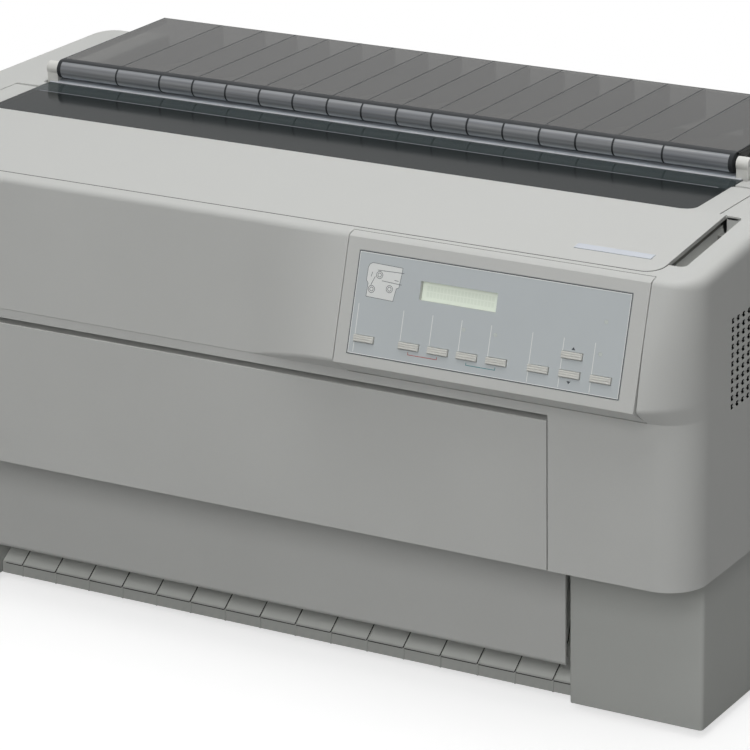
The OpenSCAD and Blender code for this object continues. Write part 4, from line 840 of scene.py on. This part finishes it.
def addGuideLines(cfg):
    # dark lines of painted shade along the edges of the ribs on the paper guide, and along its lip
    lines = []
    for x in cfg["ribs"]:
        for (y0, z0), (y1, z1) in zip(cfg["profile"], cfg["profile"][1:]):
            line = addBlock("line", x - cfg["width"] / 2, x + cfg["width"] / 2, y0, y1, z0, z0 + 1)
            out = Vector((z0 - z1, y1 - y0)).normalized() * cfg["raise"]
            for vert in line.data.vertices:
                near, high = vert.co.y / mm < (y0 + y1) / 2, vert.co.z / mm > z0 + 0.5
                y, z = (y0, z0) if near else (y1, z1)
                vert.co.y = (y + (out.x if high else -out.x)) * mm
                vert.co.z = (z + (out.y if high else -out.y)) * mm
            lines.append(line)
    lines.append(addBlock("line", *cfg["lip"]))
    obj = joinPieces(lines, "guideRibLines")
    rideWith(obj, "seamShadow", "front_paper_guide")


addGuideLines(guideLines)

seamShape = {
    "inset": (0.02, 0.66), "top": 0.1, "deep": 2.4,
    "endY": -138,  # the pocket breaks the seam on the right from here
    "housing": dict(x=(90.7, 317.8), y=(-158.33, -158.08), levelY=-158.2, top=0.08, deep=2.2),
}


def addSeams(cfg, cuts):
    # dark strip down in the gap round the cover's front and sides, and behind the panel housing: painted shade of the
    # gaps
    r, w, y0 = cuts["cover"]["r"], cuts["cover"]["front"], cuts["cover"]["y0"]
    path = [(-w, cuts["cover"]["stepY"])] + arcPoints(-w + r, y0 + r, r, 180, 270)
    path += arcPoints(w - r, y0 + r, r, 270, 360) + [(w, cfg["endY"])]
    verts, faces = [], []
    for x, y in path:
        inward = Vector((min(0, w - r - abs(x)) * (1 if x > 0 else -1), max(0, y0 + r - y)))
        inward = inward.normalized() if inward.length > 0.01 else Vector((-1 if x > 0 else 1, 0))
        for d in cfg["inset"]:
            px, py = x + inward.x * d, y + inward.y * d
            verts += [Vector((px, py, topAt(py, caseShape) - h)) * mm for h in (cfg["deep"], cfg["top"])]
    for k in range(len(path) - 1):
        a, b = 4 * k, 4 * k + 4
        faces += [[a, b, b + 1, a + 1], [a + 3, b + 3, b + 2, a + 2],
                  [a + 1, b + 1, b + 3, a + 3], [a + 2, b + 2, b, a]]
    n = 4 * len(path)
    faces += [[0, 1, 3, 2], [n - 4, n - 2, n - 1, n - 3]]
    line = cfg["housing"]
    level = topAt(line["levelY"], caseShape)
    behind = addBlock("seam", *line["x"], *line["y"], level - line["deep"], level - line["top"])
    seam = joinPieces([addMesh("coverSeam", verts, faces), behind], "caseSeams")
    faceOutwards(seam)
    rideWith(seam, "seamShadow", "main_case")


addSeams(seamShape, caseCuts)

badgeRim = {"corner": (245, -134), "size": (57, 7.4), "gap": 0.05, "width": 0.5, "height": 0.035}


def addBadgeRim(cfg):
    # dark line round the bare badge plate, on the slope of the cover
    (w, h), gap, width = cfg["size"], cfg["gap"], cfg["width"]
    rim = addBlock("badgeRim", gap, w - gap, gap, h - gap, 0, cfg["height"])
    cutAway(rim, addBlock("inside", width, w - width, width * 2, h - width * 2, -1, 1))
    x, y = cfg["corner"]
    rim.matrix_world = Matrix.Translation((x * mm, y * mm, topAt(y, caseShape) * mm)) @ \
        Matrix.Rotation(math.radians(caseShape["slope"]), 4, "X")
    applyPlace(rim)
    rideWith(rim, "badgeLine", "badge_plate")


addBadgeRim(badgeRim)

# the control panel's printed marks; places are across and down its face
panelSpace = Matrix.Translation((0, -0.165, 0.332703)) @ Matrix.Rotation(math.radians(72.8212), 4, "X")

panelMarks = {
    "low": -0.06, "high": -0.01,  # marks sit on the film, which ends 0.05 below the housing's face
    "lift": 0.01,  # the dark rings and strokes lie over the white marks
    "film": (100.3, 306.2, 10.3, 80.7),
    "corner": 2.0, "cornerSteps": 5, "holeStretch": 9,
    "rims": {"panelRimDark": (-0.1, 0.6, "darkInk"), "panelRimLight": (0.5, 0.5, "whiteInk")},  # inset, width, finish
    "lineWidth": 0.55, "bracketWidth": 0.45, "iconWidth": 0.3, "strokeWidth": 0.35,
    "arrow": 1.5,
    "ringRadii": [(2.6, 2.25), (1.5, 1.15)], "ringSides": 32,
    "lines": [(104.9, 46, 67), (139.9, 46, 67), (162.3, 46, 67), (184.6, 46, 67), (207, 46, 67), (238, 46, 67),
              (261.3, 46, 54.6), (284.4, 46, 67), (104.9, 72.2, 79), (238, 72.2, 79), (261.3, 59.6, 67),
              (261.3, 72.2, 79), (284.4, 72.2, 79)],
    "brackets": {"redInk": (146.8, 169.4, 73.2, 75.2), "tealInk": (191.4, 213.8, 73.4, 75.4)},
    "arrows": [(269.0, 52.2, 1), (268.6, 75.0, -1)],
    "icon": [(109.6, 18.4), (111.6, 17.4), (134.8, 18.0), (134.8, 21.4), (133.6, 31.6), (131.8, 32.4), (130.4, 41.2),
             (109.4, 40.6), (109.8, 31.6), (108.2, 29.6), (108.4, 20.8)],
    "rings": [(117.8, 25.0), (112.9, 35.2), (126.6, 33.4)],
    "strokes": [(116.0, 21.9, 136.4, 21.4), (120.2, 28.6, 135.4, 29.4), (114.6, 26.4, 112.0, 32.4),
                (129.6, 27.0, 132.8, 27.2), (112.2, 23.6, 111.4, 26.8)],
}


def panelBlock(x0, x1, s0, s1, cfg):
    return addBlock("mark", x0, x1, -s1, -s0, cfg["low"], cfg["high"])


def panelStroke(x0, s0, x1, s1, width, cfg):
    length = math.hypot(x1 - x0, s1 - s0)
    obj = addBlock("mark", -length / 2, length / 2, -width / 2, width / 2, cfg["low"], cfg["high"] + cfg["lift"])
    obj.matrix_world = Matrix.Translation(((x0 + x1) / 2 * mm, -(s0 + s1) / 2 * mm, 0)) @ \
        Matrix.Rotation(math.atan2(s0 - s1, x1 - x0), 4, "Z")
    applyPlace(obj)
    return obj


def panelRing(x, s, outer, inner, cfg):
    top, sides = cfg["high"] + cfg["lift"], cfg["ringSides"]
    bpy.ops.mesh.primitive_cylinder_add(vertices=sides, radius=outer * mm, depth=(top - cfg["low"]) * mm,
                                        location=(x * mm, -s * mm, (top + cfg["low"]) / 2 * mm))
    ring = bpy.context.object
    applyPlace(ring)
    bpy.ops.mesh.primitive_cylinder_add(vertices=sides, radius=inner * mm, depth=mm, location=(x * mm, -s * mm, 0))
    cutAway(ring, bpy.context.object)
    return ring


def panelPlate(points, cfg):
    return addPlate([(x, -s, cfg["low"]) for x, s in points], (0, 0, cfg["high"] - cfg["low"]))


def layOnPanel(obj):
    obj.matrix_world = panelSpace
    applyPlace(obj)


def finishMarks(parts, name, finishName):
    obj = joinPieces(parts, name)
    layOnPanel(obj)
    rideWith(obj, finishName, "panel_overlay")


def roundCorners(obj, radius, cfg):
    startEdit(obj, "DESELECT")
    bm = bmesh.from_edit_mesh(obj.data)
    for edge in bm.edges:
        edge.select = abs(edge.verts[0].co.z - edge.verts[1].co.z) > 0.00001  # upright
    bmesh.update_edit_mesh(obj.data)
    bpy.ops.mesh.bevel(offset=radius * mm, segments=cfg["cornerSteps"])
    endEdit()


def addPanelRim(name, inset, width, finishName, cfg):
    x0, x1, s0, s1 = cfg["film"]
    a0, a1, b0, b1 = x0 + inset, x1 - inset, s0 + inset, s1 - inset
    rim = panelBlock(a0, a1, b0, b1, cfg)
    roundCorners(rim, cfg["corner"] - inset, cfg)
    hole = panelBlock(a0 + width, a1 - width, b0 + width, b1 - width, cfg)
    roundCorners(hole, cfg["corner"] - inset - width * 0.5, cfg)
    startEdit(hole)
    bpy.ops.transform.resize(value=(1, 1, cfg["holeStretch"]))
    endEdit()
    cutAway(rim, hole)
    finishMarks([rim], name, finishName)


def addPanelMarks(cfg):
    half, bracket, tip = cfg["lineWidth"] / 2, cfg["bracketWidth"], cfg["arrow"]
    white = [panelBlock(x - half, x + half, s0, s1, cfg) for x, s0, s1 in cfg["lines"]]
    white.append(panelPlate(cfg["icon"], cfg))
    finishMarks(white, "panelWhiteMarks", "whiteInk")
    for ink, (x0, x1, s0, s1) in cfg["brackets"].items():
        parts = [panelBlock(x0, x1, s1 - bracket, s1, cfg), panelBlock(x0, x0 + bracket, s0, s1, cfg),
                 panelBlock(x1 - bracket, x1, s0, s1, cfg)]
        finishMarks(parts, "panel" + ink[0].upper() + ink[1:-3] + "Mark", ink)
    dark = [panelPlate([(x - tip, s + way), (x, s - way), (x + tip, s + way)], cfg) for x, s, way in cfg["arrows"]]
    dark += [panelRing(x, s, outer, inner, cfg) for x, s in cfg["rings"] for outer, inner in cfg["ringRadii"]]
    dark += [panelStroke(*a, *b, cfg["iconWidth"], cfg) for a, b in zip(cfg["icon"], cfg["icon"][1:] + cfg["icon"][:1])]
    dark += [panelStroke(*stroke, cfg["strokeWidth"], cfg) for stroke in cfg["strokes"]]
    finishMarks(dark, "panelDarkMarks", "darkInk")
    for name, (inset, width, finishName) in cfg["rims"].items():
        addPanelRim(name, inset, width, finishName, cfg)


addPanelMarks(panelMarks)
print("panel marks made")

# the smoked paper separator: top sheet, ribs under it, rounded front lip with dark rings of painted shade
separatorShape = {
    "halfWidth": 283.4, "lipY": 37, "lipZ": 355, "lipRadius": 7.2, "rearY": 181,
    "topZ": 362.2, "skim": 0.02, "sheet": 2.5, "sheetStart": 0.5, "ribHeight": 24, "ribThick": 1.6,
    "ribs": [14.65, 43.95, 73.25, 102.55, 131.85, 161.15, 190.45, 229.4],
    "ringWidth": 1.45, "ringDeep": 0.3, "endWidth": 3.2,
    "boreRadius": 2.05, "boreDepth": 7, "endBore": 2.45,
    "rimWidth": 2, "rimHeight": 6, "edge": 0.3,
    "under": 0.1,  # between the sheet and what hangs under it
    "ribGap": 0.3, "ribRear": 0.2, "ribFoot": 12, "ribNose": 4,
    "lineDeep": 0.3, "lineFront": 3, "lineRear": 0.3, "sideLine": 0.9, "ribLine": 0.5, "lipLine": (0.2, 3.4),
    "finHalf": 0.9, "finDepth": (1, 0.1), "finGap": 0.2,
    "lipSink": 0.08, "bandSink": 0.02, "bandDeep": 0.4, "bandEnd": 0.1,
    "bandFront": 3.4, "bandLow": 2,  # the band covers the lip's top behind and above these
    "sides": 96, "boreSides": 32,
}


def addSheet(cfg):
    w, top, deep, front, rear = (cfg[k] for k in ("halfWidth", "topZ", "rimWidth", "lipY", "rearY"))
    sheet = addBlock("separatorSheet", -w, w, front + cfg["sheetStart"], rear, top - cfg["sheet"],
                     top - cfg["skim"])
    rims = [addBlock("rim", *sorted((s * w, s * (w - deep))), front + cfg["lipRadius"], rear,
                     top - cfg["rimHeight"], top - cfg["sheet"] - cfg["under"]) for s in (-1, 1)]
    sheet = joinPieces([sheet] + rims, "separatorSheet")
    roundEdges(sheet, cfg["edge"], 2)
    standFor(sheet, "smokedSheet", "paper_separator")


def addRibs(cfg):
    low, high = cfg["topZ"] - cfg["ribHeight"], cfg["topZ"] - cfg["sheet"] - cfg["under"]
    start, rear, z = cfg["lipY"] + cfg["lipRadius"], cfg["rearY"], cfg["lipZ"]
    front, end = start + cfg["ribGap"], rear - cfg["ribRear"]
    foot, nose = rear - cfg["ribFoot"], start + cfg["ribNose"]
    outline = [(front, high), (end, high), (end, low), (foot, low), (nose, z), (front, z)]
    thick = cfg["ribThick"]
    ribs = [addPlate([(s * x - thick / 2, py, pz) for py, pz in outline], (thick, 0, 0))
            for x in cfg["ribs"] for s in (-1, 1)]
    under = joinPieces(ribs, "separatorRibs")
    shadeSmooth(under)
    standFor(under, "smokedFin", "paper_separator")


def addLip(cfg):
    w, y, z, deep, end = (cfg[k] for k in ("halfWidth", "lipY", "lipZ", "boreDepth", "endWidth"))
    lip = addRod("separatorLip", -w + end, w - end, y, z, cfg["lipRadius"] - cfg["lipSink"], cfg["sides"])
    for s in (-1, 1):
        cutAway(lip, addRod("bore", s * w - deep, s * w + deep, y, z, cfg["boreRadius"], cfg["boreSides"]))
    shadeSmooth(lip)
    standFor(lip, "lipSmokePaintedLight", "paper_separator")


def addRing(name, outer, core, cfg):
    # a sleeve on the lip's line, from two rods of x0, x1, radius, sides
    rods = [addRod(name, x0, x1, cfg["lipY"], cfg["lipZ"], radius, sides) for x0, x1, radius, sides in (outer, core)]
    cutAway(*rods)
    return rods[0]


def addSeparatorLines(cfg):
    # dark lines and rings where the smoked sheet is seen on edge: the ribs and the sheet's edges are real, their
    # darkness is painted shade, and so is the dark band over the lip's top
    w, y, z, r, top, rear = (cfg[k] for k in ("halfWidth", "lipY", "lipZ", "lipRadius", "topZ", "rearY"))
    sides, half, line, fin = cfg["sides"], cfg["ringWidth"] / 2, cfg["ribLine"], cfg["finHalf"]
    along = (y + cfg["lineFront"], rear - cfg["lineRear"], top - cfg["lineDeep"], top)
    dark = [addBlock("sideLine", *sorted((s * w, s * (w - cfg["sideLine"]))), *along) for s in (-1, 1)]
    for x in [s * c for c in cfg["ribs"] for s in (-1, 1)]:
        dark.append(addRing("ring", (x - half, x + half, r, sides), (x - 2, x + 2, r - cfg["ringDeep"], sides), cfg))
        dark.append(addBlock("ribLine", x - line, x + line, *along))
        dark.append(addBlock("finEdge", x - fin, x + fin, rear - cfg["finDepth"][0], rear - cfg["finDepth"][1],
                             top - cfg["ribHeight"] + cfg["finGap"], top - cfg["sheet"] - cfg["finGap"]))
    for s in (-1, 1):
        x0, x1 = sorted((s * w, s * (w - cfg["endWidth"])))
        dark.append(addRing("endRing", (x0, x1, r, sides), (x0 - 1, x1 + 1, cfg["endBore"], cfg["boreSides"]), cfg))
    dark.append(addBlock("lipLine", -w, w, y + cfg["lipLine"][0], y + cfg["lipLine"][1], top - cfg["lineDeep"], top))
    end = w - cfg["bandEnd"]
    band = addRing("lipBand", (-end, end, r - cfg["bandSink"], sides), (-w - 1, w + 1, r - cfg["bandDeep"], sides), cfg)
    cutAway(band, addBlock("cut", -w - 1, w + 1, y - 20, y - cfg["bandFront"], z - 20, z + 20))
    cutAway(band, addBlock("cut", -w - 1, w + 1, y - 20, y + 20, z - 20, z + cfg["bandLow"]))
    dark.append(band)
    lines = joinPieces(dark, "separatorRings")
    shadeSmooth(lines)
    standFor(lines, "smokedEdgePaintedShade", "paper_separator")


for addPart in (addSheet, addRibs, addLip, addSeparatorLines):
    addPart(separatorShape)
print("separator made")

# bead along the window's rear edge, and the fine line across it
trimShape = {
    "bead": (-290.6, 290.6, 30.4, 31.7, 344.9, 345.9), "beadEdge": 0.25,
    "crease": (-284, 284, 6.6, 7.5, 344.9, 345.03),
}


def addWindowTrim(cfg):
    bead = addBlock("windowBead", *cfg["bead"])
    roundEdges(bead, cfg["beadEdge"], 2)
    crease = addBlock("windowCrease", *cfg["crease"])
    for obj, finishName in ((crease, "badgeLine"), (bead, "beadPlastic")):
        rideWith(obj, finishName, "cover_window")


addWindowTrim(trimShape)

railShape = {
    "halfWidth": 284.6, "profile": [(33.0, 344.6), (33.0, 345.7), (38.4, 347.3), (38.4, 346.2)], "edge": 0.2,
}


def addLipRail(cfg):
    # pale rail under the separator's lip, held by the two pivot supports
    w, profile = cfg["halfWidth"], cfg["profile"]
    rail = addMesh("lipRail", [Vector((x, y, z)) * mm for x in (-w, w) for y, z in profile], prismFaces(len(profile)))
    faceOutwards(rail)
    roundEdges(rail, cfg["edge"], 2)
    rideWith(rail, "railPaintedLightAndShade", "separator_pivots")


addLipRail(railShape)

# the display behind its opening; places are across, down and out of the panel's face
displayShape = {
    "x": (150.2, 208.3), "s": (24.6, 37.1), "n": (-4.85, -3.2),
    "cells": 20, "marginX": 3, "marginS": 2.4, "rowPitch": 4.2, "height": 3.4, "gap": 0.3, "depth": (0.02, 0.01),
}


def addDisplay(cfg):
    (x0, x1), (s0, s1), (n0, n1) = cfg["x"], cfg["s"], cfg["n"]
    deep, out = cfg["depth"]
    glass = addBlock("displayGlass", x0, x1, -s1, -s0, n0, n1)
    cells = []
    pitch = (x1 - x0 - 2 * cfg["marginX"]) / cfg["cells"]
    for row in (0, 1):
        s = s0 + cfg["marginS"] + row * cfg["rowPitch"]
        for k in range(cfg["cells"]):
            x = x0 + cfg["marginX"] + pitch * k
            cells.append(addBlock("cell", x + cfg["gap"], x + pitch - cfg["gap"], -s - cfg["height"], -s,
                                  n1 - deep, n1 + out))
    for obj, finishName in ((glass, "lcdGlassPaintedGlow"), (joinPieces(cells, "displayCells"), "lcdCellPaintedGlow")):
        layOnPanel(obj)
        standFor(obj, finishName, "lcd_lens")


addDisplay(displayShape)
print("display made")
